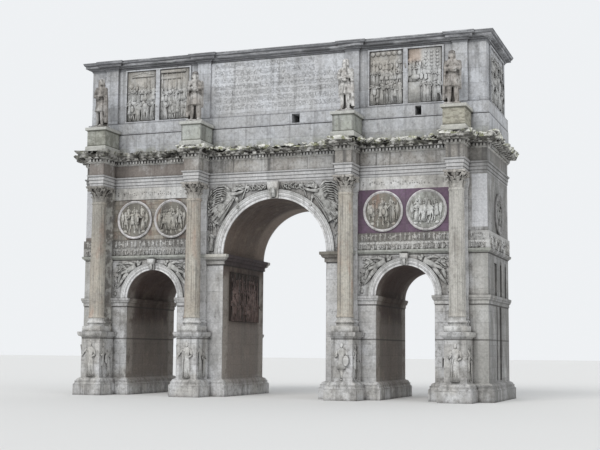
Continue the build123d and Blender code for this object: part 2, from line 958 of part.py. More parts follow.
with BuildPart() as roof_slab:
    add(
        plain_block(
            -inner_attic_half,
            inner_attic_half,
            -inner_attic_face,
            inner_attic_face,
            attic_top - roof_sink - roof_thickness,
            attic_top - roof_sink,
        )
    )
save(roof_slab, "roof_slab")

statue_pedestal_depth = (column_y + statue_pedestal_width / 2 - attic_face) / 2
statue_pedestal_core = moulded_block(
    inner_column_x,
    -attic_face - statue_pedestal_depth,
    statue_pedestal_width / 2,
    statue_pedestal_depth,
    statue_pedestal_steps,
)
with BuildPart() as statue_pedestals:
    add(on_four_quarters(statue_pedestal_core))
    add(on_four_quarters(outer_shift * statue_pedestal_core))
    add(
        [
            attic_plinth.part,
            attic_pilasters.part,
            window_course_front.part,
            window_course_rear.part,
        ],
        mode=Mode.SUBTRACT,
    )
save(statue_pedestals, "statue_pedestals")


# The standing captives on the attic


def body_section(height, half_width, half_depth, forward=0):
    """An oval cross-section of a figure."""
    with BuildSketch(Plane.XY.offset(height * statue_height)) as section:
        with Locations((0, -forward * statue_height)):
            Ellipse(half_width * statue_height, half_depth * statue_height)
    return section.sketch


def through(sections):
    """A smooth body through a run of oval sections."""
    with BuildPart() as body:
        loft([body_section(*section) for section in sections], ruled=True)
    return body.part


def captive():
    """A standing captive with a tunic, a long cloak, crossed forearms and a cap."""
    with BuildPart() as figure:
        with Locations((0, 0, 0.025 * statue_height)):
            Box(0.3 * statue_height, 0.26 * statue_height, 0.05 * statue_height)
        leg = through([(0.04, 0.05, 0.06), (0.12, 0.045, 0.05), (0.42, 0.065, 0.065)])
        add([Location((side * 0.065 * statue_height, 0, 0)) * leg for side in (-1, 1)])
        add(
            through(
                [
                    (0.34, 0.15, 0.09),
                    (0.56, 0.105, 0.075),
                    (0.76, 0.13, 0.08),
                    (0.82, 0.11, 0.065),
                    (0.845, 0.045, 0.045),
                    (0.87, 0.04, 0.04),
                ]
            )
        )
        add(
            through(
                [
                    (0.03, 0.13, 0.035, -0.07),
                    (0.5, 0.12, 0.035, -0.065),
                    (0.82, 0.12, 0.05, -0.03),
                ]
            )
        )
        add(
            through(
                [
                    (0.86, 0.035, 0.045),
                    (0.91, 0.052, 0.06),
                    (0.95, 0.052, 0.06),
                    (0.985, 0.036, 0.045),
                    (1.0, 0.012, 0.014),
                ]
            )
        )
        for side in (-1, 1):
            with Locations(
                Location(
                    (side * 0.12 * statue_height, -0.02 * statue_height, 0.7 * statue_height),
                    (0, side * 10, 0),
                )
            ):
                Cylinder(0.035 * statue_height, 0.2 * statue_height)
        with Locations(Location((0, -0.09 * statue_height, 0.61 * statue_height), (0, 90, 0))):
            Cylinder(0.03 * statue_height, 0.24 * statue_height)
    return figure.part


statue_foot = cornice_top + statue_pedestal_height
captive_shape = captive()
with BuildPart() as statues:
    for x, y in column_places:
        turn = 0 if y < 0 else 180
        add(Location((x, y, statue_foot), (0, 0, turn)) * captive_shape)
save(statues, "statues")
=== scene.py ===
import math
import random

import bmesh
import bpy
from mathutils import Matrix, Vector, noise


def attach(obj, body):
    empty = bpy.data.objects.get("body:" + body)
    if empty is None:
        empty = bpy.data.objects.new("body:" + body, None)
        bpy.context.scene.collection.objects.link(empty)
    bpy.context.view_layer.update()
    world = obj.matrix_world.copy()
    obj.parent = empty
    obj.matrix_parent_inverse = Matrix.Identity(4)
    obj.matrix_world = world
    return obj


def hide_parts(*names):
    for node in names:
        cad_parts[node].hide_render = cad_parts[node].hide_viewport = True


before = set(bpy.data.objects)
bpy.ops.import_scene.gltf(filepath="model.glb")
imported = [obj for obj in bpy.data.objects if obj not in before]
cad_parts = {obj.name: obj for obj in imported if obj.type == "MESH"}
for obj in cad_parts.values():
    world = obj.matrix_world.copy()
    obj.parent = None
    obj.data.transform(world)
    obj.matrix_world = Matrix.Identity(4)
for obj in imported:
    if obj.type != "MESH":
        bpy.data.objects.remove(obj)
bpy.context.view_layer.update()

# Main levels and places of the arch, in metres
WALL_X = 12.635
WALL_Y = 3.27
INNER_X = 4.7425
OUTER_X = 11.135
BAY_X = 7.93875
SIDE_ARCH_X = 7.935
COLUMN_Y = 4.33
COLUMN_XS = (-OUTER_X, -INNER_X, INNER_X, OUTER_X)
SIDE_SPRING = 5.86
CENTRE_SPRING = 8.42
SHAFT_FOOT = 4.60
CAPITAL_FOOT = 11.68
IMPOST = (7.78, 7.84, 8.42, 8.46)
PEDESTAL_DADO = 1.12
LOW_RANK = 8.46
HIGH_RANK = 8.92
ROUNDEL_Z = 10.67
ROUNDEL_OFF = 1.265
HEAD_BAND_FOOT = 11.92
BAY_HALF = 2.77
ARCHITRAVE_FOOT = 12.64
CORNICE_MIDDLE = 14.40
BREAK_Y = 3.9325
BREAK_HALF = (0.465, 0.8625)
STATUE_FOOT = 16.28
SLAB_FOOT = 16.80
SLAB_TOP = 20.20
ATTIC_X = 12.60
ATTIC_Y = 3.00
FRONT = Matrix.Identity(4)
REAR = Matrix.Rotation(math.pi, 4, "Z")
EAST = Matrix.Rotation(math.pi / 2, 4, "Z")
WEST = Matrix.Rotation(-math.pi / 2, 4, "Z")
FACES = (FRONT, REAR)
COLUMN_SPOTS = [(x, side) for x in COLUMN_XS for side in (-1, 1)]


# Nodes of the finishes

def put(tree, kind, inputs=None, **settings):
    """A shader node with its settings, each input linked to a socket or set to a value."""
    made = tree.nodes.new("ShaderNode" + kind)
    for key, value in settings.items():
        setattr(made, key, value)
    for key, value in (inputs or {}).items():
        if isinstance(value, bpy.types.NodeSocket):
            tree.links.new(value, made.inputs[key])
        elif made.inputs[key].type == "RGBA":
            made.inputs[key].default_value = (*value, 1.0)
        else:
            made.inputs[key].default_value = value
    return made


class Coat:
    """The colour of one stone, laid on in layers. Its fields are sockets of the node tree: the place, its
    x, y and z, their sizes across and in depth, and the place on a wall that the block joints follow."""

    def __init__(self, tree, colour):
        self.tree = tree
        self.colour = colour
        self.place = put(tree, "TexCoord").outputs["Object"]
        self.x, self.y, self.z = put(tree, "SeparateXYZ", {0: self.place}).outputs
        self.across = self.calc("ABSOLUTE", self.x)
        self.depth = self.calc("ABSOLUTE", self.y)
        self.wall = put(tree, "CombineXYZ", {0: self.calc("ADD", self.x, self.y), 1: self.z}).outputs[0]

    def calc(self, operation, first, second=0.0):
        return put(self.tree, "Math", {0: first, 1: second}, operation=operation).outputs[0]

    def product(self, shares):
        total = shares[0]
        for share in shares[1:]:
            total = self.calc("MULTIPLY", total, share)
        return total

    def mix(self, factor, first, second, mode="MIX"):
        made = put(self.tree, "Mix", {0: factor, 6: first, 7: second}, data_type="RGBA", blend_type=mode)
        return made.outputs[2]

    def step(self, value, low, high):
        ranged = put(self.tree, "MapRange", {0: value, 1: low, 2: high}, interpolation_type="SMOOTHSTEP")
        return ranged.outputs[0]

    def ramp(self, value, limits):
        """A smooth step over two limits, or a plateau with soft ends over four."""
        if len(limits) == 2:
            return self.step(value, *limits)
        return self.product([self.step(value, limits[0], limits[1]), self.step(value, limits[3], limits[2])])

    def gap(self, value, level):
        return self.calc("ABSOLUTE", self.calc("SUBTRACT", value, level))

    def speckle(self, size, detail=5.0, stretch=(1, 1, 1), rough=0.6):
        spread = put(self.tree, "Mapping", {"Vector": self.place, "Scale": stretch})
        return put(self.tree, "TexNoise", {"Vector": spread.outputs[0], "Scale": size, "Detail": detail,
                                           "Roughness": rough}).outputs[0]

    def cloud(self, low, high, *noise_terms):
        return self.step(self.speckle(*noise_terms), low, high)

    def lay(self, tint, share, *factors, cloud=None, **limits):
        """Blend a tint in where each named coordinate is in its limits and the noise is high."""
        shares = [share, *factors] + [self.ramp(getattr(self, name), span) for name, span in limits.items()]
        if cloud:
            shares.append(self.cloud(*cloud))
        self.colour = self.mix(self.product(shares), self.colour, tint)

    def lines(self, tint, share, value, levels, wide, core, **limits):
        """Thin dark lines where a value comes near one of the levels."""
        for level in levels:
            self.lay(tint, share, self.step(self.gap(value, level), wide, core), **limits)


# Stains, painted shade and painted light that belong to one part of the arch; each takes the coat of its
# stone

def rubble_bay(coat):
    """Small patched masonry behind the discs of the left bay."""
    small = put(coat.tree, "TexBrick", {
        "Vector": coat.wall, "Color1": (0.42, 0.36, 0.29), "Color2": (0.56, 0.53, 0.47),
        "Mortar": (0.30, 0.27, 0.23), "Scale": 1.0, "Mortar Size": 0.02, "Mortar Smooth": 0.4,
        "Brick Width": 0.62, "Row Height": 0.27}, offset=0.37)
    bay = {"z": (9.38, 9.44, 11.90, 11.95), "depth": (3.20, 3.25)}
    coat.lay(small.outputs["Color"], 0.85, **bay)
    coat.lay((0.26, 0.16, 0.13), 0.6, cloud=(0.50, 0.60, 1.3), **bay)


def west_rubble(coat):
    """Broken facing on the pilaster at the left corner."""
    stones = coat.mix(coat.cloud(0.44, 0.56, 2.6, 7.0, (1, 1, 0.8)), (0.20, 0.18, 0.155),
                      (0.62, 0.61, 0.56))
    coat.lay(stones, 0.85, x=(-10.3, -10.5))


def frieze_tones(coat):
    """Pale architrave with painted shadow lines between its fasciae, and a stained left part of the frieze.
    """
    coat.lay((0.70, 0.705, 0.72), 0.55, z=(13.33, 13.30))
    coat.lay((0.235, 0.205, 0.185), 0.88, x=(-4.2, -5.4), z=(13.30, 13.36), cloud=(0.26, 0.46, 0.9, 6.0))
    # Painted shadow lines under the steps of the fasciae and at the architrave's foot
    coat.lines((0.13, 0.125, 0.12), 0.60, coat.z, (12.655, 12.815, 13.015, 13.215), 0.035, 0.012)


def pale_low_rank(coat):
    """Paler ground behind the lower rank of the small friezes, most on the right."""
    share = coat.calc("ADD", coat.product([coat.step(coat.x, -1.0, 1.0), 0.58]), 0.33)
    coat.lay((0.64, 0.635, 0.615), 1.0, share, z=(HIGH_RANK + 0.03, HIGH_RANK))
    coat.lay((0.62, 0.62, 0.61), 0.6, x=(11.6, 11.8))


def statue_shades(coat):
    """Dark hair as painted shade, painted shadows in the laps and a darker statue at the left corner."""
    # Painted shade in the hair of the statues away from x 4.74 and the left corner
    coat.lay((0.10, 0.09, 0.085), 0.80, coat.step(coat.gap(coat.x, 4.74), 0.8, 1.0), z=(19.16, 19.24),
             x=(-8.5, -7.5), cloud=(0.30, 0.46, 6.0))
    coat.lay((0.10, 0.095, 0.09), 0.55, z=(17.9, 18.0, 18.22, 18.32),
             cloud=(0.48, 0.58, 4.0, 5.0, (1, 1, 2.5)))
    coat.lay((0.13, 0.12, 0.11), 0.55, x=(-8.0, -9.0), cloud=(0.40, 0.54, 1.3, 6.0, (1, 1, 0.5)))


def slab_tops(coat):
    """Beige tops of the attic's slabs, a paler last slab and the orange stain in its corner."""
    coat.lay((0.46, 0.42, 0.36), 0.45, z=(18.6, 19.1), x=(9.3, 8.9),
             cloud=(0.38, 0.55, 1.0, 5.0, (1, 1, 0.4)))
    coat.lay((0.76, 0.77, 0.775), 0.32, x=(8.5, 9.0))
    coat.lay((0.52, 0.39, 0.30), 0.60, z=(19.1, 19.5), x=(7.9, 8.1, 8.7, 9.0))


def dark_ends(coat):
    """Stained ends, a paler strip beside each front corner and painted shade of the right end's recessed
    channels, laid as dark upright strips.
    """
    ends = coat.ramp(coat.across, (11.0, 12.64))
    coat.lay((0.20, 0.195, 0.185), 0.42, ends)
    coat.lay((0.14, 0.14, 0.135), 0.50, coat.step(ends, 0.90, 0.97),
             cloud=(0.35, 0.55, 1.1, 6.0, (1, 1, 0.3)))
    for low, high, share, tint in ((9.60, 12.62, 0.68, (0.74, 0.75, 0.78)),
                                   (0.9, 8.4, 0.34, (0.74, 0.73, 0.69))):
        coat.lay(tint, share, across=(11.74, 11.80), depth=(3.22, 3.26),
                 z=(low, low + 0.08, high - 0.04, high))
    # Painted shade: dark upright strips where the right end has recessed channels
    for middle, half, low, high in ((-0.65, 0.11, 0.9, 5.3), (0.48, 0.27, 0.9, 5.3), (0.70, 0.22, 5.9, 8.0),
                                    (2.25, 0.18, 5.9, 8.0)):
        coat.lay((0.075, 0.070, 0.065), 0.66, coat.step(coat.gap(coat.y, middle), half + 0.12, half),
                 x=(11.9, 12.2), z=(low, low + 0.5, high - 0.1, high),
                 cloud=(0.30, 0.46, 1.8, 6.0, (1, 1, 0.4)))


def block_tones(coat):
    """Mossy statue blocks on the left, beige ones on the right, with pale mouldings and painted shadow lines.
    """
    moss = coat.mix(coat.cloud(0.45, 0.6, 3.0), (0.21, 0.205, 0.17), (0.40, 0.40, 0.35))
    coat.lay(moss, 0.60, x=(-8.0, -9.0))
    beige = coat.mix(coat.cloud(0.45, 0.6, 2.5, 6.0, (1, 1, 3.0)), (0.46, 0.44, 0.36), (0.27, 0.25, 0.20))
    coat.lay(beige, 0.85, x=(8.0, 9.0))
    for limits in ((15.16, 15.10), (16.08, 16.12)):
        coat.lay((0.58, 0.58, 0.55), 0.7, z=limits)
    # Painted shadow lines under the cap and at the top of the foot moulding
    coat.lines((0.10, 0.10, 0.08), 0.65, coat.z, (15.165, 16.07), 0.045, 0.02)


def attic_dirt_and_shade(coat):
    """The attic's dark cornice with a painted shade band in its mouldings broken by a noise, pale flecks on
    its edges, painted shadow lines and a stained foot.
    """
    coat.lay((0.11, 0.10, 0.09), 0.8, z=(20.67, 20.70), cloud=(0.30, 0.50, 1.8, 6.0, (0.5, 1, 1)))
    coat.lay((0.235, 0.24, 0.255), 0.78, z=(20.17, 20.22))
    # Painted shade: a band in the cornice's mouldings, broken into dark patches by a noise
    coat.lay((0.10, 0.10, 0.105), 0.65, z=(20.36, 20.42, 20.58, 20.62),
             cloud=(0.42, 0.56, 1.2, 6.0, (0.4, 1, 1)))
    brink = coat.calc("MAXIMUM", coat.step(coat.depth, 2.8, 3.0), coat.step(coat.across, 12.3, 12.5))
    coat.lay((0.60, 0.61, 0.63), 0.55, brink, z=(20.25, 20.32, 20.86, 20.92),
             cloud=(0.50, 0.60, 2.2, 6.0, (0.35, 0.35, 3.0)))
    # Painted shadow lines at the foot and top of the window course and in the cornice
    coat.lines((0.10, 0.10, 0.11), 0.55, coat.z, (16.08, 16.79, 20.33, 20.61), 0.05, 0.02)
    coat.lay((0.34, 0.345, 0.28), 0.6, z=(15.45, 14.95), cloud=(0.42, 0.58, 1.6, 7.0))


def shaded_brown_passages(coat):
    """Brown and sooty stone inside the three passages, deepened as painted shade, with beige painted light
    near their mouths, beige low in the vaults and a painted lit band on the far side of the central vault.
    """
    stone = coat.colour
    # Dark brown stone and soot, deepened into painted shade for the inside of the passages
    coat.colour = coat.mix(coat.speckle(0.55), (0.080, 0.054, 0.046), (0.165, 0.122, 0.098))
    coat.lay((0.24, 0.19, 0.15), 0.55, cloud=(0.54, 0.62, 1.1, 6.0))
    coat.lay((0.055, 0.040, 0.033), 0.55, cloud=(0.46, 0.60, 1.7, 7.0, (1, 1, 0.3)))
    # Lighter low on the walls, and painted light near the mouths of the passages
    low = coat.product([coat.step(coat.z, 4.9, 4.0), 0.40])
    lit_mouths = coat.product([0.85, coat.step(coat.depth, 2.0, 2.7), coat.step(coat.z, 7.7, 6.9),
                          coat.cloud(0.30, 0.52, 1.4, 6.0)])
    coat.lay((0.42, 0.385, 0.345), 1.0, coat.calc("MAXIMUM", low, lit_mouths))
    # Painted light: a lit band on the far side of the central vault
    coat.lay((0.38, 0.31, 0.26), 0.70, y=(1.3, 2.2), z=(8.3, 8.6))
    coat.lay((0.27, 0.21, 0.165), 0.50, z=(8.42, 8.48, 8.9, 11.4), across=(4.4, 4.2))
    coat.lay((0.050, 0.034, 0.042), 0.74, z=IMPOST, across=(4.4, 4.2))
    coat.lay((0.095, 0.055, 0.046), 0.65, z=(5.9, 6.5), across=(5.0, 5.6))
    shaded_brown = coat.colour
    coat.colour = stone
    coat.lay(shaded_brown, 0.92, depth=(3.26, 3.16), across=(10.6, 10.2), z=(0.2, 1.4))
    coat.lay((0.25, 0.24, 0.23), 0.40, across=(4.30, 4.24), z=(9.3, 9.7), depth=(3.20, 3.26))


def pier_fronts(coat):
    """Painted light on the inner pier fronts, a greenish string course, two-toned imposts and painted
    shadow lines under the courses.
    """
    # Painted light: brightens the fronts of the inner piers
    coat.lay((0.76, 0.76, 0.765), 0.34, across=(6.24, 6.20), z=(8.4, 7.6), depth=(3.22, 3.26, 3.6, 3.75),
             cloud=(0.34, 0.50, 1.5, 6.0, (1, 1, 0.5)))
    coat.lay((0.42, 0.435, 0.39), 0.65, z=(8.21, 8.25, 8.45, 8.47), depth=(3.22, 3.26))
    cream = coat.mix(coat.step(coat.z, 8.20, 8.12), (0.66, 0.64, 0.59), (0.33, 0.32, 0.30))
    both = coat.mix(coat.step(coat.x, -0.5, 0.5), cream, (0.15, 0.13, 0.105))
    coat.lay(both, 0.72, z=IMPOST, across=(4.4, 4.2), depth=(3.22, 3.26))
    # Painted shadow lines under the projecting courses
    for level, near, far in ((3.39, 4.0, 13.0), (5.34, 5.2, 13.0), (7.79, 0.0, 4.3), (8.19, 5.2, 13.0)):
        coat.lines((0.09, 0.085, 0.08), 0.72, coat.z, (level,), 0.06, 0.025,
                   across=(near - 0.1, near, far, far + 0.1))


def ring_lines(coat):
    """Painted shadow lines between the fasciae of the arch rings, and their greyer outer parts."""
    shares = []
    for middle, spring, radius, width in ((0.0, CENTRE_SPRING, 3.25, 0.52),
                                          (SIDE_ARCH_X, SIDE_SPRING, 1.70, 0.42)):
        aside = coat.calc("POWER", coat.gap(coat.across, middle), 2.0)
        above = coat.calc("POWER", coat.gap(coat.z, spring), 2.0)
        far = coat.calc("SQRT", coat.calc("ADD", aside, above))
        shares.append(coat.calc("DIVIDE", coat.calc("SUBTRACT", far, radius), width))
    share = put(coat.tree, "Mix", {0: coat.step(coat.across, 4.2, 4.3), 2: shares[0],
                                   3: shares[1]}).outputs[0]
    coat.lay((0.44, 0.45, 0.415), 0.26, coat.step(share, 0.55, 0.65))
    # Painted shadow lines at the steps between the fasciae
    coat.lines((0.15, 0.145, 0.14), 0.42, share, (0.26, 0.44, 0.66, 0.90), 0.065, 0.02)


def crown_crust(coat):
    """Black growth on the upper cornice, and the cream and green tops of its broken crown."""
    growth = coat.calc("ADD", coat.product([coat.step(coat.z, 14.31, CORNICE_MIDDLE), 0.605]),
                      coat.speckle(2.4, 8.0, (1, 1, 1), 0.7))
    black = coat.mix(coat.cloud(0.48, 0.62, 5.0), (0.040, 0.037, 0.033), (0.14, 0.14, 0.105))
    coat.lay(black, 0.92, coat.step(growth, 0.98, 1.16))
    lit = coat.product([coat.step(coat.z, 14.56, 14.64), coat.cloud(0.450, 0.490, 1.5, 6.0, (1, 1, 2.2), 0.7),
                        coat.calc("ADD", coat.step(coat.x, -6.2, -5.2), 0.22)])
    cream = coat.mix(coat.cloud(0.50, 0.58, 3.4), (0.88, 0.875, 0.82), (0.40, 0.41, 0.27))
    coat.lay(cream, 0.96, coat.calc("MINIMUM", lit, 1.0))


def marble(name, pale, warm, grey, streak=0.5, joints=None, hollow_shade=0.75, rough=0.85, blotch=0.35,
           joint_dark=0.55,
           reach=0.30, run_width=2.2, veins=None, pale_east=None, west_dim=None, early=None, late=()):
    """Weathered stone: two body colours in clouds, grey patches, blotches, block joints, upright streaks and
    painted shade in the hollows. Veins, a paler right part, a dimmer left column and a part's own stains,
    painted shade and painted light come where asked: the early one under the patches, the late ones over
    the streaks."""
    material = bpy.data.materials.new(name)
    material.use_nodes = True
    tree = material.node_tree
    surface = tree.nodes["Principled BSDF"]
    surface.inputs["Roughness"].default_value = rough
    surface.inputs["Specular IOR Level"].default_value = 0.25
    coat = Coat(tree, pale)
    coat.lay(warm, 1.0, cloud=(0.40, 0.60, 0.55))
    if veins:
        coat.lay(veins, 1.0, cloud=(0.50, 0.66, 1.6, 6.0, (1, 1, 0.35)))
    if pale_east:
        coat.lay(pale_east, 1.0, x=(7.85, 8.05))
    height = coat.speckle(9.0, 6.0)
    if early:
        early(coat)
    if west_dim:
        coat.lay((0.20, 0.19, 0.17), west_dim, x=(-10.0, -10.3), z=(7.5, 10.5))
    coat.lay(grey, 0.7, cloud=(0.48, 0.66, 1.3, 7.0, (1, 1, 0.6)))
    coat.lay((0.17, 0.16, 0.145), blotch, cloud=(0.50, 0.64, 4.5, 8.0, (1, 1, 1), 0.7))
    if joints:
        bricks = put(tree, "TexBrick", {
            "Vector": coat.wall, "Color1": (1, 1, 1), "Color2": (0.78, 0.77, 0.76),
            "Mortar": (joint_dark, joint_dark, joint_dark), "Scale": 1.0, "Mortar Size": 0.010,
            "Mortar Smooth": 0.6, "Bias": 0.1, "Brick Width": joints[0], "Row Height": joints[1]},
            offset=0.42)
        coat.colour = coat.mix(0.9, coat.colour, bricks.outputs["Color"], "MULTIPLY")
        height = coat.calc("SUBTRACT", height, coat.product([bricks.outputs["Fac"], 1.2]))
    coat.lay((0.13, 0.125, 0.12), streak, cloud=(0.48, 0.68, 1.5, 7.0, (run_width, run_width, 0.12)))
    for stain in late:
        stain(coat)
    # Painted shade: an ambient occlusion node, looking as far as reach, darkens the hollows and corners
    occlusion_shade = put(tree, "AmbientOcclusion", {"Distance": reach}, samples=6)
    coat.lay((0.045, 0.040, 0.036), hollow_shade, coat.step(occlusion_shade.outputs["AO"], 0.85, 0.30))
    fine = coat.mix(coat.speckle(26.0, 3.0), (0.50, 0.50, 0.49), (1, 1, 1))
    coat.colour = coat.mix(0.35, coat.colour, fine, "MULTIPLY")
    grain = coat.cloud(0.38, 0.62, 8.0, 5.0, (1, 1, 1), 0.75)
    grain = coat.mix(grain, (0.66, 0.66, 0.66), (1.26, 1.26, 1.265))
    coat.colour = coat.mix(0.34, coat.colour, grain, "MULTIPLY")
    tree.links.new(coat.colour, surface.inputs["Base Color"])
    relief = put(tree, "Bump", {"Strength": 0.55, "Distance": 0.03, "Height": height})
    tree.links.new(relief.outputs[0], surface.inputs["Normal"])
    return material


WALL = marble("wall_marble", (0.71, 0.715, 0.725), (0.60, 0.59, 0.57), (0.31, 0.305, 0.295),
              streak=0.58, joints=(1.75, 0.62), blotch=0.48, late=(dark_ends, shaded_brown_passages, pier_fronts))
BAY = marble("patched_bay_masonry", (0.48, 0.47, 0.45), (0.39, 0.37, 0.335), (0.25, 0.24, 0.23),
             streak=0.45, joints=(1.75, 0.62), early=rubble_bay, late=(dark_ends,))
FRIEZE = marble("entablature_marble", (0.63, 0.63, 0.625), (0.46, 0.44, 0.41), (0.26, 0.25, 0.235),
                streak=0.85, joints=(2.6, 5.0), blotch=0.5, late=(frieze_tones, dark_ends))
CROWN = marble("cornice_marble", (0.60, 0.595, 0.57), (0.48, 0.47, 0.44), (0.24, 0.235, 0.22),
               streak=0.6, hollow_shade=0.95, blotch=0.6, late=(crown_crust,))
ATTIC = marble("attic_marble", (0.66, 0.68, 0.715), (0.60, 0.61, 0.625), (0.41, 0.42, 0.44),
               streak=0.40, joints=(2.3, 0.85), joint_dark=0.62, blotch=0.32, late=(attic_dirt_and_shade,))
TABLET = marble("tablet_marble", (0.73, 0.75, 0.785), (0.67, 0.68, 0.695), (0.54, 0.545, 0.555),
                streak=0.32, joints=(2.9, 1.7), joint_dark=0.6, blotch=0.32, hollow_shade=0.40)
CARVED = marble("carved_marble", (0.71, 0.71, 0.70), (0.58, 0.565, 0.535), (0.34, 0.33, 0.31),
                streak=0.35, hollow_shade=1.0)
ARCHES = marble("arch_ring_marble", (0.87, 0.875, 0.885), (0.79, 0.785, 0.785), (0.56, 0.56, 0.555),
                streak=0.40, hollow_shade=0.8, late=(ring_lines,))
PILASTERS = marble("pilaster_marble", (0.81, 0.815, 0.825), (0.73, 0.73, 0.73), (0.44, 0.44, 0.44),
                   streak=0.35, hollow_shade=0.35, joints=(9.0, 1.4), early=west_rubble)
GROUND = marble("relief_ground_marble", (0.30, 0.29, 0.275), (0.205, 0.195, 0.18), (0.11, 0.105, 0.10),
                streak=0.35, hollow_shade=0.9, blotch=0.4, late=(pale_low_rank,))
DISC = marble("roundel_ground_marble", (0.27, 0.26, 0.23), (0.20, 0.19, 0.165), (0.13, 0.12, 0.11),
              streak=0.35, hollow_shade=1.0, blotch=0.45, veins=(0.30, 0.215, 0.17), pale_east=(0.45, 0.46, 0.43),
              late=(dark_ends,))
ROUND = marble("roundel_figure_marble", (0.67, 0.66, 0.62), (0.51, 0.49, 0.44), (0.27, 0.26, 0.23),
               streak=0.45, hollow_shade=1.0, blotch=0.6, veins=(0.40, 0.32, 0.265), pale_east=(0.80, 0.81, 0.79),
               late=(dark_ends,))
RIM = marble("roundel_rim_marble", (0.80, 0.78, 0.79), (0.70, 0.68, 0.68), (0.50, 0.49, 0.48),
             streak=0.4, hollow_shade=0.8, late=(dark_ends,))
SPANDREL = marble("spandrel_marble", (0.68, 0.68, 0.665), (0.55, 0.55, 0.53), (0.33, 0.33, 0.315),
                  streak=0.45, hollow_shade=0.85, blotch=0.55)
SLABS = marble("attic_relief_marble", (0.61, 0.615, 0.61), (0.50, 0.49, 0.465), (0.31, 0.31, 0.30),
               streak=0.40, hollow_shade=1.0, blotch=0.45, reach=0.42, late=(slab_tops,))
PASSAGE = marble("passage_relief_marble", (0.31, 0.225, 0.205), (0.21, 0.15, 0.135),
                 (0.08, 0.058, 0.055), streak=0.85, hollow_shade=1.0, blotch=0.6, reach=0.45, run_width=3.0)
PANEL = marble("passage_ground_marble", (0.060, 0.045, 0.040), (0.045, 0.034, 0.030),
               (0.030, 0.024, 0.022), streak=0.4)
SHAFTS = marble("yellow_shaft_marble", (0.56, 0.535, 0.475), (0.51, 0.465, 0.40), (0.38, 0.36, 0.325),
                streak=0.55, rough=0.7, run_width=6.0, veins=(0.50, 0.41, 0.345),
                pale_east=(0.575, 0.56, 0.52), west_dim=0.40)
LEAVES = marble("capital_marble", (0.60, 0.58, 0.54), (0.46, 0.435, 0.40), (0.25, 0.24, 0.22),
                hollow_shade=1.0, west_dim=0.50)
CAPTIVE = marble("statue_marble", (0.75, 0.74, 0.72), (0.43, 0.40, 0.37), (0.16, 0.145, 0.13),
                 streak=0.85, hollow_shade=1.0, blotch=0.72, reach=0.65, run_width=3.6, late=(statue_shades,))
GREEN = marble("statue_block_marble", (0.50, 0.52, 0.49), (0.43, 0.445, 0.40), (0.24, 0.245, 0.215),
               streak=0.7, blotch=0.5, late=(block_tones,))
PURPLE = marble("porphyry", (0.215, 0.142, 0.215), (0.165, 0.106, 0.160), (0.15, 0.11, 0.14),
                streak=0.3, rough=0.6, joints=(1.3, 1.1))

# The finish of each node that isn't plain wall
FINISH_OF = {
    "entablature": FRIEZE, "main_cornice": CROWN, "ressauts": CROWN, "porphyry_veneers": PURPLE,
    "statue_pedestals": GREEN, "column_shafts": SHAFTS, "capitals": LEAVES, "statues": CAPTIVE,
    "upper_bay_left": BAY, "roundels": RIM, "small_friezes": GROUND, "passage_reliefs": PANEL,
    "keystones": CARVED,
    "column_bases": CARVED, "pilasters": PILASTERS, "side_archivolts": ARCHES, "central_archivolts": ARCHES,
}
for node in ("attic_plinth", "window_course_front", "window_course_rear", "attic_wall_front",
             "attic_wall_rear",
             "attic_wall_left", "attic_wall_right", "attic_pilasters", "attic_reliefs", "tablet_slabs",
             "attic_cornice", "roof_slab"):
    FINISH_OF[node] = ATTIC
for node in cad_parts:
    mesh = bpy.data.objects[node].data
    mesh.materials.clear()
    mesh.materials.append(FINISH_OF.get(node, WALL))


# Ways of making a mesh

def finished(name, bm, finish, replaces=(), smooth=True):
    bmesh.ops.recalc_face_normals(bm, faces=bm.faces)
    for face in bm.faces:
        face.smooth = smooth
    mesh = bpy.data.meshes.new(name)
    bm.to_mesh(mesh)
    bm.free()
    mesh.materials.append(finish)
    thing = bpy.data.objects.new(name, mesh)
    bpy.context.scene.collection.objects.link(thing)
    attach(thing, "root")
    if replaces:
        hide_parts(*replaces)
    return thing


def kept(bm):
    mesh = bpy.data.meshes.new("shape")
    bm.to_mesh(mesh)
    bm.free()
    return mesh


def stamp(bm, shape, place):
    placed = shape.copy()
    placed.transform(place)
    bm.from_mesh(placed)
    bpy.data.meshes.remove(placed)


def gathered(pairs):
    """A new bmesh with each shape stamped at its place."""
    bm = bmesh.new()
    for shape, place in pairs:
        stamp(bm, shape, place)
    return bm


def at(x, y, z, wide=1.0, deep=1.0, tall=1.0):
    return Matrix.Translation((x, y, z)) @ Matrix.Diagonal((wide, deep, tall, 1.0))


def block(bm, low, high):
    middle = [(a + b) / 2 for a, b in zip(low, high)]
    bmesh.ops.create_cube(bm, size=1.0, matrix=at(*middle, *[abs(b - a) for a, b in zip(low, high)]))


def ball(bm, centre, radii, seg=8):
    bmesh.ops.create_uvsphere(bm, u_segments=seg, v_segments=max(4, seg - 2), radius=1.0,
                              matrix=at(*centre, *radii))


def limb(bm, start, end, thick, thin, seg=7):
    start, end = Vector(start), Vector(end)
    way = end - start
    place = Matrix.Translation((start + end) / 2) @ way.to_track_quat("Z", "Y").to_matrix().to_4x4()
    bmesh.ops.create_cone(bm, cap_ends=True, segments=seg, radius1=thick, radius2=thin, depth=way.length,
                          matrix=place)


def first_ring(bm, seg):
    ring = bmesh.ops.create_circle(bm, cap_ends=True, segments=seg, radius=1.0)["verts"]
    return ring, list({edge for vert in ring for edge in vert.link_edges if edge.other_vert(vert) in ring})


def next_ring(bm, edges):
    """The vertices and edges of the ring that grows out of another ring's edges."""
    grown = bmesh.ops.extrude_edge_only(bm, edges=edges)["geom"]
    ring = [part for part in grown if isinstance(part, bmesh.types.BMVert)]
    known = set(ring)
    return ring, [part for part in grown if isinstance(part, bmesh.types.BMEdge) and set(part.verts) <= known]


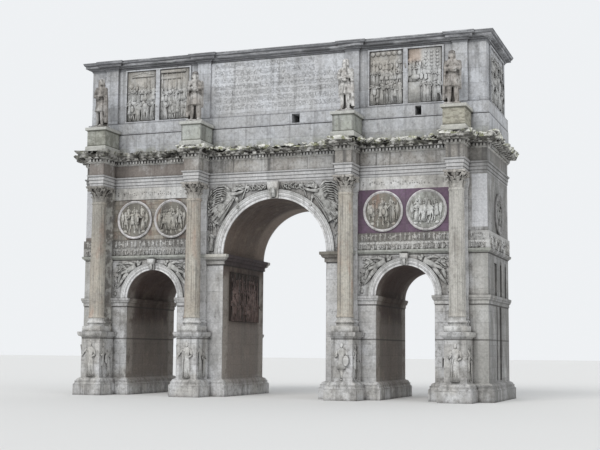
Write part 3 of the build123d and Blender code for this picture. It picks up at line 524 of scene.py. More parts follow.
def lofted(bm, levels, seg=10, fold=0.0):
    """A closed body through ovals given as x, y, height, half width and half depth."""
    ring, edges = first_ring(bm, seg)
    for count, vert in enumerate(ring):
        vert.co *= 1.0 + (fold if count % 2 else -fold)
    bmesh.ops.transform(bm, matrix=at(*levels[0]), verts=ring)
    for low, high in zip(levels, levels[1:]):
        ring, edges = next_ring(bm, edges)
        bmesh.ops.transform(bm, matrix=at(*high) @ at(*low).inverted(), verts=ring)
    bmesh.ops.contextual_create(bm, geom=edges)


def turned(bm, profile, steps=24):
    verts = [bm.verts.new((radius, 0, height)) for radius, height in profile]
    edges = [bm.edges.new(pair) for pair in zip(verts, verts[1:])]
    bmesh.ops.spin(bm, geom=verts + edges, cent=(0, 0, 0), axis=(0, 0, 1), angle=2 * math.pi, steps=steps,
                   use_merge=True)
    bmesh.ops.remove_doubles(bm, verts=bm.verts, dist=0.0005)


# Figures, one unit tall, standing at the origin and looking towards -Y

def figure(seg=8, dress="robe", left=((0.17, -0.02, 0.62), (0.10, -0.12, 0.58)),
           right=((-0.17, -0.02, 0.62), (-0.12, -0.13, 0.66)), stride=0.03, spear=None, shield=False,
           cloak=False,
           helmet=False):
    bm = bmesh.new()
    if dress == "robe":
        lofted(bm, [(0, 0, 0, 0.135, 0.085), (0, 0, 0.12, 0.125, 0.08), (0.01, -0.01, 0.35, 0.115, 0.085),
                    (0, 0, 0.55, 0.10, 0.075), (0, 0, 0.66, 0.10, 0.07), (0, 0, 0.78, 0.125, 0.075),
                    (0, 0, 0.84, 0.085, 0.055), (0, 0, 0.87, 0.035, 0.035)], 2 * seg, 0.06)
        for side in (-1, 0, 1):
            limb(bm, (side * 0.08, -0.085, 0.02), (-0.09 + side * 0.03, -0.07, 0.74), 0.022, 0.016, 5)
    else:
        lofted(bm, [(0, 0, 0.30, 0.14, 0.095), (0, 0, 0.42, 0.12, 0.085), (0, 0, 0.56, 0.092, 0.07),
                    (0, 0, 0.66, 0.10, 0.07), (0, 0, 0.78, 0.13, 0.078), (0, 0, 0.84, 0.085, 0.055),
                    (0, 0, 0.87, 0.035, 0.035)], 2 * seg, 0.06)
        for side, step in ((-1, -stride), (1, stride)):
            limb(bm, (side * 0.06, 0, 0.42), (side * 0.065 + step, -0.01, 0.24), 0.06, 0.042, seg)
            limb(bm, (side * 0.065 + step, -0.01, 0.25), (side * 0.07 + 1.6 * step, 0.01, 0.03), 0.042, 0.027,
                 seg)
            ball(bm, (side * 0.07 + 1.6 * step, -0.03, 0.02), (0.03, 0.055, 0.022), 6)
    if cloak:
        lofted(bm, [(0.01, 0.07, 0.05, 0.15, 0.03), (0.01, 0.07, 0.45, 0.14, 0.03),
                    (0, 0.04, 0.80, 0.13, 0.05),
                    (0, 0.02, 0.86, 0.06, 0.04)], 2 * seg, 0.08)
        limb(bm, (0.09, -0.06, 0.80), (-0.10, -0.06, 0.74), 0.03, 0.04, seg)
    for side, (elbow, hand) in ((1, left), (-1, right)):
        limb(bm, (side * 0.115, 0, 0.80), elbow, 0.042, 0.034, seg)
        limb(bm, elbow, hand, 0.034, 0.024, seg)
        ball(bm, hand, (0.03, 0.028, 0.03), 5)
    limb(bm, (0, 0.005, 0.84), (0, -0.01, 0.90), 0.034, 0.032, seg)
    ball(bm, (0, -0.012, 0.93), (0.048, 0.056, 0.066), seg)
    ball(bm, (0, 0.008, 0.948), (0.055, 0.058, 0.056), seg)
    ball(bm, (0, -0.045, 0.895), (0.03, 0.024, 0.032), 6)
    if helmet:
        limb(bm, (0, 0.06, 0.99), (0, -0.03, 1.02), 0.02, 0.015, 5)
    if spear:
        limb(bm, (spear, -0.10, 0.02), (spear + 0.02, -0.08, 1.25), 0.011, 0.009, 5)
    if shield:
        ball(bm, (0.14, -0.13, 0.52), (0.10, 0.03, 0.15), seg)
    return kept(bm)


def horse(seg=8):
    bm = bmesh.new()
    ball(bm, (0, 0, 0.62), (0.33, 0.13, 0.17), seg)
    ball(bm, (0.2, 0, 0.64), (0.16, 0.14, 0.18), seg)
    ball(bm, (-0.22, 0, 0.64), (0.17, 0.14, 0.18), seg)
    limb(bm, (0.28, 0, 0.68), (0.45, -0.02, 0.95), 0.11, 0.065, seg)
    limb(bm, (0.43, -0.02, 0.98), (0.60, -0.05, 0.82), 0.065, 0.038, seg)
    for x, knee, hoof in ((0.26, 0.34, 0.26), (0.20, 0.17, 0.22), (-0.26, -0.34, -0.27),
                          (-0.20, -0.22, -0.15)):
        limb(bm, (x, -0.03, 0.56), (knee, -0.05, 0.28), 0.07, 0.035, 6)
        limb(bm, (knee, -0.05, 0.29), (hoof, -0.04, 0.0), 0.032, 0.03, 6)
    limb(bm, (-0.36, 0, 0.70), (-0.50, 0, 0.35), 0.05, 0.03, 6)
    return kept(bm)


def people(seg):
    return [
        figure(seg),
        figure(seg, "tunic", stride=0.05, spear=-0.17, helmet=True),
        figure(seg, "tunic", left=((0.20, -0.03, 0.72), (0.24, -0.08, 0.92)), cloak=True),
        figure(seg, "robe", right=((-0.20, -0.02, 0.70), (-0.27, -0.06, 0.60))),
        figure(seg, "tunic", shield=True, helmet=True, stride=-0.05),
        figure(seg, "robe", left=((0.19, -0.04, 0.66), (0.06, -0.13, 0.70)), cloak=True),
    ]


LARGE = people(7)
SMALL = people(4)
HORSE = horse(8)
SMALL_HORSE = horse(6)


def crowd(bm, place, width, tall, count, seed, shapes=LARGE, depth=0.55, horses=0):
    """A row of figures across a width, on the relief's own ground line."""
    chance = random.Random(seed)
    for step in range(count):
        x = (step + 0.5 + chance.uniform(-0.15, 0.15)) * width / count - width / 2
        size = tall * chance.uniform(0.93, 1.04)
        flip = chance.choice((-1, 1))
        turn = Matrix.Rotation(chance.uniform(-0.5, 0.5), 4, "Z")
        stamp(bm, chance.choice(shapes), place @ at(x, 0, 0, size * flip, size * depth, size) @ turn)
    for step in range(horses):
        x = (step + 0.5) * width / horses - width / 2 + chance.uniform(-0.2, 0.2)
        flip = chance.choice((-1, 1))
        beast = HORSE if shapes is LARGE else SMALL_HORSE
        stamp(bm, beast, place @ at(x, 0, 0, tall * flip, tall * depth, tall * 0.95))


# Columns: fluted shafts, leafed capitals

FLUTES = 24


def fluted_shaft():
    bm = bmesh.new()
    ring, edges = first_ring(bm, 4 * FLUTES)
    levels = [(0, 0.50, 0), (0.07, 0.505, 0), (0.09, 0.475, 0), (0.17, 0.465, 0), (0.22, 0.464, 0.02),
              (0.34, 0.463, 0.034), (2.4, 0.458, 0.034), (4.6, 0.440, 0.033), (6.68, 0.417, 0.031),
              (6.80, 0.416, 0.018), (6.86, 0.416, 0), (6.93, 0.425, 0), (6.95, 0.455, 0), (7.01, 0.462, 0),
              (7.03, 0.430, 0), (7.08, 0.425, 0)]
    for count, (height, radius, depth) in enumerate(levels):
        if count:
            ring, edges = next_ring(bm, edges)
        for vert in ring:
            angle = math.atan2(vert.co.y, vert.co.x)
            quarter = round(angle / (2 * math.pi) * 4 * FLUTES) % 4
            reach = radius - depth * (0, 0.8, 1.0, 0.8)[quarter]
            vert.co = (reach * math.cos(angle), reach * math.sin(angle), height)
    bmesh.ops.contextual_create(bm, geom=edges)
    return kept(bm)


def leaf(height, width, reach):
    """One acanthus leaf: a lobed sheet with a midrib, curling over at its tip."""
    bm = bmesh.new()
    bmesh.ops.create_grid(bm, x_segments=5, y_segments=8, size=0.5)
    for vert in bm.verts:
        across = vert.co.x * 2
        up = vert.co.y + 0.5
        lobes = 1 - 0.22 * abs(math.sin(up * 4.0 * math.pi)) * abs(across)
        half = width / 2 * lobes * (1 - 0.5 * up ** 3)
        curl = max(0.0, (up - 0.6) / 0.4)
        ribs = 0.03 * abs(math.cos(across * 4.7)) + 0.03 * (1 - abs(across))
        out = reach * (0.18 * up + 0.82 * curl ** 1.6) + ribs
        rise = height * (up if up < 0.8 else 0.8 + 0.16 * math.sin((up - 0.8) * 5 * math.pi * 0.75))
        vert.co = (half * across, -out, rise)
    bmesh.ops.solidify(bm, geom=bm.faces, thickness=0.03)
    return kept(bm)


def leafed_capital(sides=8):
    """A capital; one against a wall has only the leaves of its front."""
    bm = bmesh.new()
    turned(bm, [(0, 0), (0.415, 0), (0.40, 0.05), (0.37, 0.3), (0.38, 0.6), (0.47, 0.83), (0, 0.83)])
    low = leaf(0.36, 0.34, 0.15)
    high = leaf(0.62, 0.32, 0.21)
    stalk = leaf(0.30, 0.16, 0.16)
    for step in range(-(sides // 2), sides - sides // 2):
        turn = Matrix.Rotation(step * math.pi / 4, 4, "Z")
        half = Matrix.Rotation((step + 0.5) * math.pi / 4, 4, "Z")
        if sides == 8 or step < sides // 2:
            stamp(bm, high, half @ at(0, -0.345, 0.02))
        stamp(bm, low, turn @ at(0, -0.375, 0.02))
        stamp(bm, stalk, turn @ at(0, -0.36, 0.50))
    for step in range(4):
        turn = Matrix.Rotation((step + 0.5) * math.pi / 2, 4, "Z")
        arms = bmesh.new()
        for side in (-1, 1):
            limb(arms, (side * 0.10, -0.36, 0.52), (side * 0.05, -0.62, 0.76), 0.05, 0.035, 6)
            limb(arms, (side * 0.09, -0.68, 0.735), (side * 0.01, -0.68, 0.735), 0.09, 0.09, 12)
            limb(arms, (side * 0.12, -0.68, 0.735), (side * 0.01, -0.68, 0.735), 0.035, 0.035, 8)
        stamp(bm, kept(arms), turn)
        bud = bmesh.new()
        ball(bud, (0, -0.50, 0.88), (0.10, 0.07, 0.10), 8)
        stamp(bm, kept(bud), Matrix.Rotation(step * math.pi / 2, 4, "Z"))
    slab = bmesh.new()
    for foot, top, half in ((0.83, 0.89, 0.60), (0.89, 0.96, 0.63)):
        made = bmesh.ops.create_cube(slab, size=1.0,
                                     matrix=at(0, 0, (foot + top) / 2, 2 * half, 2 * half, top - foot))
        edges = list({edge for vert in made["verts"] for edge in vert.link_edges
                      if abs(edge.verts[0].co.z - edge.verts[1].co.z) < 0.01})
        bmesh.ops.subdivide_edges(slab, edges=edges, cuts=6, use_grid_fill=True)
    for vert in slab.verts:
        x, y = vert.co.x, vert.co.y
        vert.co.x -= math.copysign(0.14, x) * max(0, 1 - (y / 0.56) ** 2) * abs(x) / 0.6
        vert.co.y -= math.copysign(0.14, y) * max(0, 1 - (x / 0.56) ** 2) * abs(y) / 0.6
    stamp(bm, kept(slab), FRONT)
    return kept(bm)


shaft = fluted_shaft()
bm = gathered((shaft, at(x, side * COLUMN_Y, SHAFT_FOOT)) for x, side in COLUMN_SPOTS)
finished("fluted_shafts", bm, SHAFTS, ("column_shafts",))
capital = leafed_capital()
bm = gathered((capital, at(x, side * COLUMN_Y, CAPITAL_FOOT)) for x, side in COLUMN_SPOTS)
finished("leafed_capitals", bm, LEAVES, ("capitals",), smooth=False)
half_capital = leafed_capital(5)
bm = gathered((half_capital, place @ at(x, -WALL_Y - 0.02, CAPITAL_FOOT, 0.93, 0.42, 1))
              for x in COLUMN_XS for place in FACES)
finished("pilaster_capitals", bm, LEAVES, smooth=False)


# Entablature: moulded courses with mitred corners and worn edges

def course(x, y, half_x, half_y, steps, cell=0.4, wear=0.0, wear_foot=0.0):
    """A rectangular course whose profile is given as reach and height, its crown worn away by a noise."""
    bm = bmesh.new()
    verts = [bm.verts.new((1 + reach, 1 + reach, height)) for reach, height in steps]
    edges = [bm.edges.new(pair) for pair in zip(verts, verts[1:])]
    bmesh.ops.spin(bm, geom=verts + edges, cent=(0, 0, 0), axis=(0, 0, 1), angle=2 * math.pi, steps=4,
                   use_merge=True)
    for vert in bm.verts:
        vert.co.x = x + math.copysign(abs(vert.co.x) - 1 + half_x, vert.co.x)
        vert.co.y = y + math.copysign(abs(vert.co.y) - 1 + half_y, vert.co.y)
    bmesh.ops.holes_fill(bm, edges=bm.edges)
    for axis, half in ((0, half_x), (1, half_y)):
        long = [edge for edge in bm.edges
                if abs(edge.verts[0].co[axis] - edge.verts[1].co[axis]) > 1.2 * half]
        bmesh.ops.subdivide_edges(bm, edges=long, cuts=max(1, int(2 * half / cell)), use_grid_fill=True)
    if wear:
        for vert in bm.verts:
            if vert.co.z < wear_foot:
                continue
            broken = (noise.noise(vert.co * 0.55 + Vector((3, 1, 0))) - 0.02) * 5.0
            loss = wear * max(0.0, min(1.0, broken)) + 0.10 + 0.22 * noise.noise(vert.co * 4.1)
            for axis, half, centre in ((0, half_x, x), (1, half_y, y)):
                over = abs(vert.co[axis] - centre) - half
                if over > 0.12:
                    vert.co[axis] -= math.copysign(over * max(0.0, loss), vert.co[axis] - centre)
            vert.co.z -= 0.20 * max(0.0, loss) * (vert.co.z - wear_foot) / 0.4
    return kept(bm)


def teeth(bm, x, y, half_x, half_y, pitch, wide, deep, low, high, skip, seed):
    """Rows of small blocks round the four sides of a rectangle."""
    chance = random.Random(seed)
    for axis, reach, other in ((0, half_x, half_y), (1, half_y, half_x)):
        count = max(1, int(2 * reach / pitch))
        for step in range(count):
            along = (step + 0.5) * 2 * reach / count - reach
            for side in (-1, 1):
                if chance.random() < skip:
                    continue
                low_corner = [along - wide / 2, side * (other - 0.05), low]
                high_corner = [along + wide / 2, side * (other + deep), high]
                if axis:
                    low_corner[:2] = low_corner[1::-1]
                    high_corner[:2] = high_corner[1::-1]
                block(bm, (low_corner[0] + x, low_corner[1] + y, low),
                      (high_corner[0] + x, high_corner[1] + y, high))


def tooth_rows(main, breaks):
    """Teeth round the body and round each break over a column."""
    bm = bmesh.new()
    teeth(bm, 0, 0, WALL_X, WALL_Y, *main)
    for x, side in COLUMN_SPOTS:
        teeth(bm, x, side * BREAK_Y, *BREAK_HALF, *breaks)
    return bm


architrave_steps = [(0, 12.64), (0, 12.82), (0.028, 12.82), (0.028, 13.02), (0.056, 13.02), (0.056, 13.21),
                    (0.09, 13.22), (0.125, 13.28), (0.14, 13.28), (0.14, 13.32), (0.02, 13.32), (0.02, 14.05)]
cornice_steps = [(0.02, 14.05), (0.06, 14.07), (0.10, 14.14), (0.10, 14.31), (0.16, 14.33), (0.24, 14.37),
                 (0.27, 14.39), (0.60, 14.42), (0.60, 14.58), (0.63, 14.60), (0.70, 14.70), (0.735, 14.76),
                 (0.75, 14.77), (0.75, 14.82)]
crown = course(0, 0, WALL_X, WALL_Y, cornice_steps, 0.22, 0.72, CORNICE_MIDDLE)
finished("worn_cornice", gathered([(crown, FRONT)]), CROWN, ("main_cornice",), smooth=False)
bm = gathered((course(x, side * BREAK_Y, *BREAK_HALF, architrave_steps), FRONT) for x, side in COLUMN_SPOTS)
finished("entablature_breaks", bm, FRIEZE, ("ressauts",), smooth=False)
bm = gathered((course(x, side * BREAK_Y, *BREAK_HALF, cornice_steps, 0.16, 0.7, CORNICE_MIDDLE), FRONT)
              for x, side in COLUMN_SPOTS)
finished("worn_cornice_breaks", bm, CROWN, smooth=False)
dentil = (0.20, 0.12, 0.19, 14.15, 14.30, 0.04, 1)
finished("dentils", tooth_rows(dentil, dentil), CARVED, smooth=False)
bm = tooth_rows((0.55, 0.22, 0.50, 14.33, 14.46, 0.12, 2), (0.45, 0.2, 0.45, 14.33, 14.46, 0.12, 3))
finished("cornice_brackets", bm, CROWN, smooth=False)


# Rubble of the worn crown, held inside the cornice's own reach

REACH_X = 13.38
REACH_Y = 5.54


def lumps(bm, count, low, high, sizes, seed):
    """Broken stones scattered in a box."""
    chance = random.Random(seed)
    for step in range(count):
        spot = [chance.uniform(a, b) for a, b in zip(low, high)]
        size = chance.uniform(*sizes)
        made = bmesh.ops.create_icosphere(bm, subdivisions=2, radius=size,
                                          matrix=at(*spot, chance.uniform(0.8, 1.5), 1.0,
                                                    chance.uniform(0.45, 0.8)))
        for vert in made["verts"]:
            vert.co += noise.noise_vector(vert.co * (0.7 / size)) * size * 0.55
            vert.co.x = max(-REACH_X, min(REACH_X, vert.co.x))
            vert.co.y = max(-REACH_Y, min(REACH_Y, vert.co.y))


bm = bmesh.new()
for side in (-1, 1):
    lumps(bm, 170, (-12.9, side * 3.35, 14.70), (12.9, side * 3.85, 14.82), (0.05, 0.17), 5)
    lumps(bm, 60, (side * 12.85, -3.9, 14.66), (side * 13.15, 3.9, 14.80), (0.07, 0.18), 6)
    lumps(bm, 14, (side * 12.90, side * -3.9, 14.62), (side * 13.22, side * -2.2, 14.95), (0.16, 0.30), 7)
    for x in COLUMN_XS:
        lumps(bm, 26, (x - 0.95, side * 3.7, 14.66), (x + 0.95, side * 5.25, 14.84), (0.06, 0.17), 8)
finished("crown_rubble", bm, CROWN, smooth=False)


# Statues of captives

def captive(low_hand=0.60, lean=0.0, drape=1):
    """A standing bearded man in a belted tunic, trousers and a long cloak, hands crossed."""
    bm = bmesh.new()
    lofted(bm, [(0, -0.005, 0.335, 0.118, 0.090), (0, -0.01, 0.42, 0.110, 0.088), (0, 0, 0.53, 0.092, 0.078),
                (0, 0, 0.58, 0.088, 0.072), (0, 0, 0.66, 0.100, 0.078), (0, 0, 0.75, 0.116, 0.080),
                (0, 0, 0.795, 0.104, 0.065), (0, 0, 0.825, 0.05, 0.045), (lean, -0.005, 0.86, 0.036, 0.038)],
                26, 0.035)
    for side in (-1, 1):
        ball(bm, (side * 0.062, -0.05, 0.065), (0.030, 0.060, 0.022), 8)
        lofted(bm, [(side * 0.060, -0.01, 0.05, 0.031, 0.036), (side * 0.060, -0.01, 0.12, 0.038, 0.042),
                    (side * 0.057, -0.01, 0.20, 0.044, 0.048), (side * 0.055, -0.015, 0.26, 0.043, 0.048),
                    (side * 0.052, -0.01, 0.40, 0.054, 0.058)], 12, 0.04)
        limb(bm, (side * 0.112, 0.0, 0.775), (side * 0.130, -0.03, 0.655), 0.044, 0.039, 12)
        limb(bm, (side * 0.130, -0.03, 0.66), (-side * 0.030, -0.118, low_hand + 0.022 * side), 0.037, 0.026,
             12)
        ball(bm, (-side * 0.050, -0.122, low_hand + 0.022 * side), (0.032, 0.022, 0.028), 8)
        ball(bm, (side * 0.112, 0, 0.772), (0.048, 0.050, 0.044), 10)
    lofted(bm, [(0.015 * drape, 0.055, 0.05, 0.125, 0.045), (0.015 * drape, 0.055, 0.25, 0.120, 0.045),
                (0.01 * drape, 0.055, 0.50, 0.120, 0.045), (0, 0.04, 0.70, 0.124, 0.058),
                (0, 0.02, 0.79, 0.110, 0.060), (0, 0.01, 0.835, 0.06, 0.05)], 34, 0.06)
    limb(bm, (drape * 0.125, 0.0, 0.765), (drape * 0.150, 0.0, 0.10), 0.034, 0.038, 10)
    limb(bm, (drape * 0.120, -0.03, 0.74), (drape * 0.158, -0.035, 0.22), 0.024, 0.024, 8)
    limb(bm, (-drape * 0.125, 0.0, 0.765), (-drape * 0.128, 0.02, 0.30), 0.030, 0.026, 10)
    for side in (-1, 1):
        limb(bm, (side * 0.03, -0.065, 0.805), (side * 0.118, -0.058, 0.70), 0.034, 0.03, 8)
    limb(bm, (-0.085, -0.05, 0.785), (0.075, -0.062, 0.80), 0.033, 0.033, 8)
    for step in range(9):
        angle = math.radians(-70 + step * 17.5)
        start = (0.092 * math.sin(angle), -0.078 * math.cos(angle), 0.55)
        limb(bm, start, (1.28 * start[0], 1.25 * start[1], 0.34), 0.010, 0.020, 6)
    lofted(bm, [(0, 0, 0.545, 0.098, 0.082), (0, 0, 0.57, 0.098, 0.082)], 20)
    ball(bm, (lean, -0.022, 0.910), (0.046, 0.056, 0.064), 14)
    ball(bm, (lean, 0.008, 0.937), (0.060, 0.064, 0.056), 14)
    lofted(bm, [(lean, 0.0, 0.950, 0.060, 0.064), (lean, 0.0, 0.964, 0.064, 0.068),
                (lean, 0.005, 0.983, 0.05, 0.054),
                (lean, 0.01, 0.998, 0.022, 0.026)], 14)
    ball(bm, (lean, 0.035, 0.880), (0.054, 0.044, 0.06), 12)
    ball(bm, (lean, -0.055, 0.862), (0.036, 0.030, 0.042), 10)
    ball(bm, (lean, -0.080, 0.908), (0.009, 0.012, 0.017), 6)
    for side in (-1, 1):
        ball(bm, (lean + side * 0.020, -0.066, 0.930), (0.014, 0.010, 0.006), 6)
        ball(bm, (lean + side * 0.052, 0.0, 0.890), (0.018, 0.040, 0.050), 8)
    block(bm, (-0.155, -0.125, -0.004), (0.155, 0.105, 0.05))
    return melted(kept(bm))


def melted(shape):
    """One skin over all the parts of a shape, softened and with half its faces taken out."""
    rough = bpy.data.objects.new("rough_shape", shape)
    bpy.context.scene.collection.objects.link(rough)
    joined = rough.modifiers.new("joined", "REMESH")
    joined.mode = "VOXEL"
    joined.voxel_size = 0.0105
    soft = rough.modifiers.new("soft", "SMOOTH")
    soft.factor = 0.5
    soft.iterations = 2
    rough.modifiers.new("lighter", "DECIMATE").ratio = 0.5
    skin = bpy.data.meshes.new_from_object(rough.evaluated_get(bpy.context.evaluated_depsgraph_get()))
    bpy.data.objects.remove(rough)
    return skin


STATUE = 3.18
first_man = captive()
second_man = captive(0.63, -0.012, -1)
bm = bmesh.new()
for x, man, turn in ((-OUTER_X - 0.05, first_man, -0.3), (-INNER_X, second_man, 0.25),
                     (INNER_X, first_man, -0.15),
                     (OUTER_X - 0.16, second_man, 0.12)):
    for place in FACES:
        stamp(bm, man, place @ at(x, -COLUMN_Y - 0.04, STATUE_FOOT, STATUE, STATUE, STATUE)
              @ Matrix.Rotation(turn, 4, "Z"))
finished("captive_statues", bm, CAPTIVE, ("statues",))


# Carved slabs of the attic

def temple(bm, place, width, height):
    """A small pedimented porch in low relief."""
    scene_part = bmesh.new()
    for step in range(4):
        x = (step / 3 - 0.5) * width * 0.86
        limb(scene_part, (x, 0, 0), (x, 0, height * 0.66), 0.045, 0.04, 8)
    block(scene_part, (-width / 2, -0.07, height * 0.66), (width / 2, 0.05, height * 0.76))
    limb(scene_part, (-width / 2, -0.02, height * 0.78), (0, -0.02, height), 0.035, 0.035, 6)
    limb(scene_part, (width / 2, -0.02, height * 0.78), (0, -0.02, height), 0.035, 0.035, 6)
    stamp(bm, kept(scene_part), place)


def tier(bm, middle, width, foot, tall, count, seed, depth=0.6, horses=0):
    crowd(bm, at(middle, -0.010, foot), width, tall, count, seed, depth=depth, horses=horses)


def attic_scene(kind, seed):
    """Ranks of figures in a field 2.02 wide and 3.21 tall, with a building, discs or standards over them."""
    bm = bmesh.new()
    block(bm, (-1.01, -0.032, 0.0), (1.01, 0.02, 3.21))
    if kind == 0:
        tier(bm, 0, 1.85, 0.04, 1.45, 6, seed, 0.75, 1)
        tier(bm, 0.05, 1.75, 0.92, 1.35, 7, seed + 50, 0.6)
        temple(bm, at(0.1, 0, 2.20), 1.55, 0.92)
        tier(bm, -0.1, 1.6, 1.55, 1.0, 5, seed + 60, 0.4)
    elif kind == 1:
        tier(bm, 0.1, 1.75, 0.04, 1.25, 6, seed, 0.75, 1)
        tier(bm, -0.1, 1.75, 0.80, 1.30, 7, seed + 50, 0.6)
        block(bm, (-0.95, -0.06, 2.55), (0.55, 0.01, 2.72))
        block(bm, (-0.95, -0.09, 2.95), (0.75, 0.01, 3.12))
        for step in range(5):
            limb(bm, (-0.85 + 0.33 * step, -0.02, 1.8), (-0.85 + 0.33 * step, -0.02, 2.95), 0.05, 0.045, 8)
    elif kind == 2:
        tier(bm, 0, 1.85, 0.04, 1.42, 7, seed, 0.75)
        tier(bm, 0, 1.80, 1.12, 1.15, 7, seed + 50, 0.75, 1)
        tier(bm, 0, 1.70, 1.75, 1.05, 7, seed + 70, 0.55)
        for step in range(6):
            limb(bm, (-0.80 + step * 0.32, 0.02, 3.02), (-0.80 + step * 0.32, -0.075, 3.02), 0.145, 0.12, 12)
    else:
        block(bm, (-0.98, -0.085, 0.02), (-0.22, 0.01, 1.22))
        tier(bm, -0.62, 0.75, 1.22, 1.20, 3, seed, 0.7)
        tier(bm, -0.40, 1.10, 1.75, 1.05, 6, seed + 90, 0.4)
        ball(bm, (-0.55, -0.06, 1.50), (0.30, 0.10, 0.16), 8)
        tier(bm, 0.38, 1.15, 0.04, 1.45, 4, seed + 50, 0.75)
        tier(bm, 0.40, 1.10, 0.85, 1.25, 5, seed + 70, 0.5)
        for step in range(3):
            x = 0.05 + step * 0.34
            limb(bm, (x, -0.02, 1.8), (x, -0.02, 3.1), 0.03, 0.03, 6)
            for rise in range(5):
                ball(bm, (x, -0.03, 2.15 + 0.2 * rise), (0.10, 0.06, 0.085), 7)
    return kept(bm)


bm = gathered((attic_scene(kind, seed + kind), place @ at(x, -ATTIC_Y - 0.03, SLAB_FOOT + 0.095))
              for kind, x in enumerate((-BAY_X - 1.15, -BAY_X + 1.15, BAY_X - 1.15, BAY_X + 1.15))
              for place, seed in ((FRONT, 11), (REAR, 31)))
finished("attic_carvings", bm, SLABS)
bm = bmesh.new()
for turn in (EAST, WEST):
    for foot, tall, count, horses in ((0.12, 1.5, 11, 3), (1.0, 1.4, 11, 1), (1.78, 1.3, 10, 0)):
        crowd(bm, turn @ at(0, -ATTIC_X - 0.02, SLAB_FOOT + foot), 3.9, tall, count, 71 + count, depth=0.75,
              horses=horses)
finished("attic_end_carvings", bm, SLABS)


# The tablet: rows of small fixing holes and no lettering

def pitted_slab(low, high, y, cells, rows, fill, seed, bare=None):
    """A thin slab on a long face with small square fixing holes. The rows are given as their foot and top,
    their pitch and the share of it that they fill; a bare corner is given as x and z."""
    bm = bmesh.new()
    middle = ((low[0] + high[0]) / 2, y, (low[1] + high[1]) / 2)
    bmesh.ops.create_grid(bm, x_segments=cells[0], y_segments=cells[1], size=0.5,
                          matrix=at(*middle) @ Matrix.Rotation(math.pi / 2, 4, "X")
                          @ Matrix.Diagonal((high[0] - low[0], high[1] - low[1], 1, 1)))
    chance = random.Random(seed)
    cell = (high[0] - low[0]) / cells[0]
    marked = []
    for face in bm.faces:
        centre = face.calc_center_median()
        between = not rows[0] <= centre.z <= rows[1] or (centre.z - rows[0]) / rows[2] % 1 > rows[3]
        margin = abs(centre.x - middle[0]) > (high[0] - low[0]) / 2 - 0.25
        if between or margin or int((centre.x - low[0]) / cell) % 2:
            continue
        if bare and centre.x > bare[0] and centre.z > bare[1]:
            continue
        if chance.random() < fill:
            marked.append(face)
    bmesh.ops.inset_individual(bm, faces=marked, thickness=0.007, depth=0.0)
    bmesh.ops.translate(bm, vec=(0, 0.020, 0), verts=list({vert for face in marked for vert in face.verts}))
    edges = [edge for edge in bm.edges if edge.is_boundary]
    grown = bmesh.ops.extrude_edge_only(bm, edges=edges)["geom"]
    rim = [part for part in grown if isinstance(part, bmesh.types.BMVert)]
    bmesh.ops.translate(bm, vec=(0, 0.044, 0), verts=rim)
    bmesh.ops.holes_fill(bm, edges=[edge for edge in bm.edges if edge.is_boundary])
    return kept(bm)


tablet = pitted_slab((-4.3175, SLAB_FOOT), (4.3175, SLAB_TOP), -ATTIC_Y - 0.045, (220, 66),
                     (17.22, 20.15, 0.425, 0.76), 0.60, 8, bare=(2.4, 19.4))
finished("pitted_tablets", gathered((tablet, place) for place in FACES), TABLET,
         ("tablet_slabs",),
         smooth=False)
head_bands = [pitted_slab((x - BAY_HALF, HEAD_BAND_FOOT), (x + BAY_HALF, ARCHITRAVE_FOOT), -WALL_Y - 0.045,
                          (80, 12),
                          (12.18, 12.40, 0.30, 0.9), 0.30, 18) for x in (-BAY_X, BAY_X)]
finished("pitted_head_bands", gathered((slab, place) for slab in head_bands for place in FACES), CARVED,
         ("head_bands",), smooth=False)


# Small friezes with crowds of figures, roundels and pedestal figures

bm = bmesh.new()
for place, seed in ((FRONT, 101), (REAR, 131)):
    for count, (x, width, people_low, people_high) in enumerate(
            ((-BAY_X, 5.45, 27, 19), (BAY_X, 5.45, 29, 19), (-12.1, 1.0, 5, 4), (12.1, 1.0, 5, 4))):
        for out, foot, span, tall, people_here, order, deep, horses in (
                (0.08, LOW_RANK, width, 0.45, people_low, 0, 0.85, 0),
                (0.08, HIGH_RANK, width - 0.1, 0.49, people_high, 9, 0.85, 0),
                (0.12, LOW_RANK, width, 0.30, people_high, 21, 0.9, 0),
                (0.07, HIGH_RANK, width - 0.1, 0.42, people_high // 2, 31, 0.9, people_high // 4)):
            crowd(bm, place @ at(x, -WALL_Y - out, foot), span, tall, people_here, seed + order + count,
                  SMALL, deep,
                  horses)
        block(bm, *[place @ Vector(corner) for corner in ((x - width / 2, -WALL_Y - 0.10, HIGH_RANK - 0.015),
                                                          (x + width / 2, -WALL_Y - 0.06,
                                                           HIGH_RANK + 0.015))])
finished("small_frieze_figures", bm, CARVED)
bm = bmesh.new()
for turn in (EAST, WEST):
    crowd(bm, turn @ at(0, -WALL_X - 0.08, 8.47), 6.3, 0.80, 20, 151, SMALL, 0.6, 5)
    crowd(bm, turn @ at(0, -WALL_X - 0.06, 8.62), 6.2, 0.78, 16, 152, SMALL, 0.5)
finished("end_frieze_figures", bm, CARVED)


def disc_scene(seed, horses):
    """Three ranks of figures in a disc, with trees at its sides."""
    bm = bmesh.new()
    crowd(bm, at(0, 0, -0.66), 1.45, 1.22, 4, seed, depth=0.85, horses=horses)
    crowd(bm, at(0, 0.02, -0.20), 1.30, 1.05, 3, seed + 7, depth=0.6)
    crowd(bm, at(0, 0.0, -0.95), 1.0, 0.50, 3, seed + 17, depth=0.9)
    for side in (-1, 1):
        ball(bm, (side * 0.82, 0, 0.1), (0.13, 0.10, 0.30), 8)
        limb(bm, (side * 0.80, -0.02, -0.5), (side * 0.86, -0.02, 0.5), 0.05, 0.035, 6)
        ball(bm, (side * 0.62, 0, -0.72), (0.16, 0.09, 0.10), 8)
    return kept(bm)


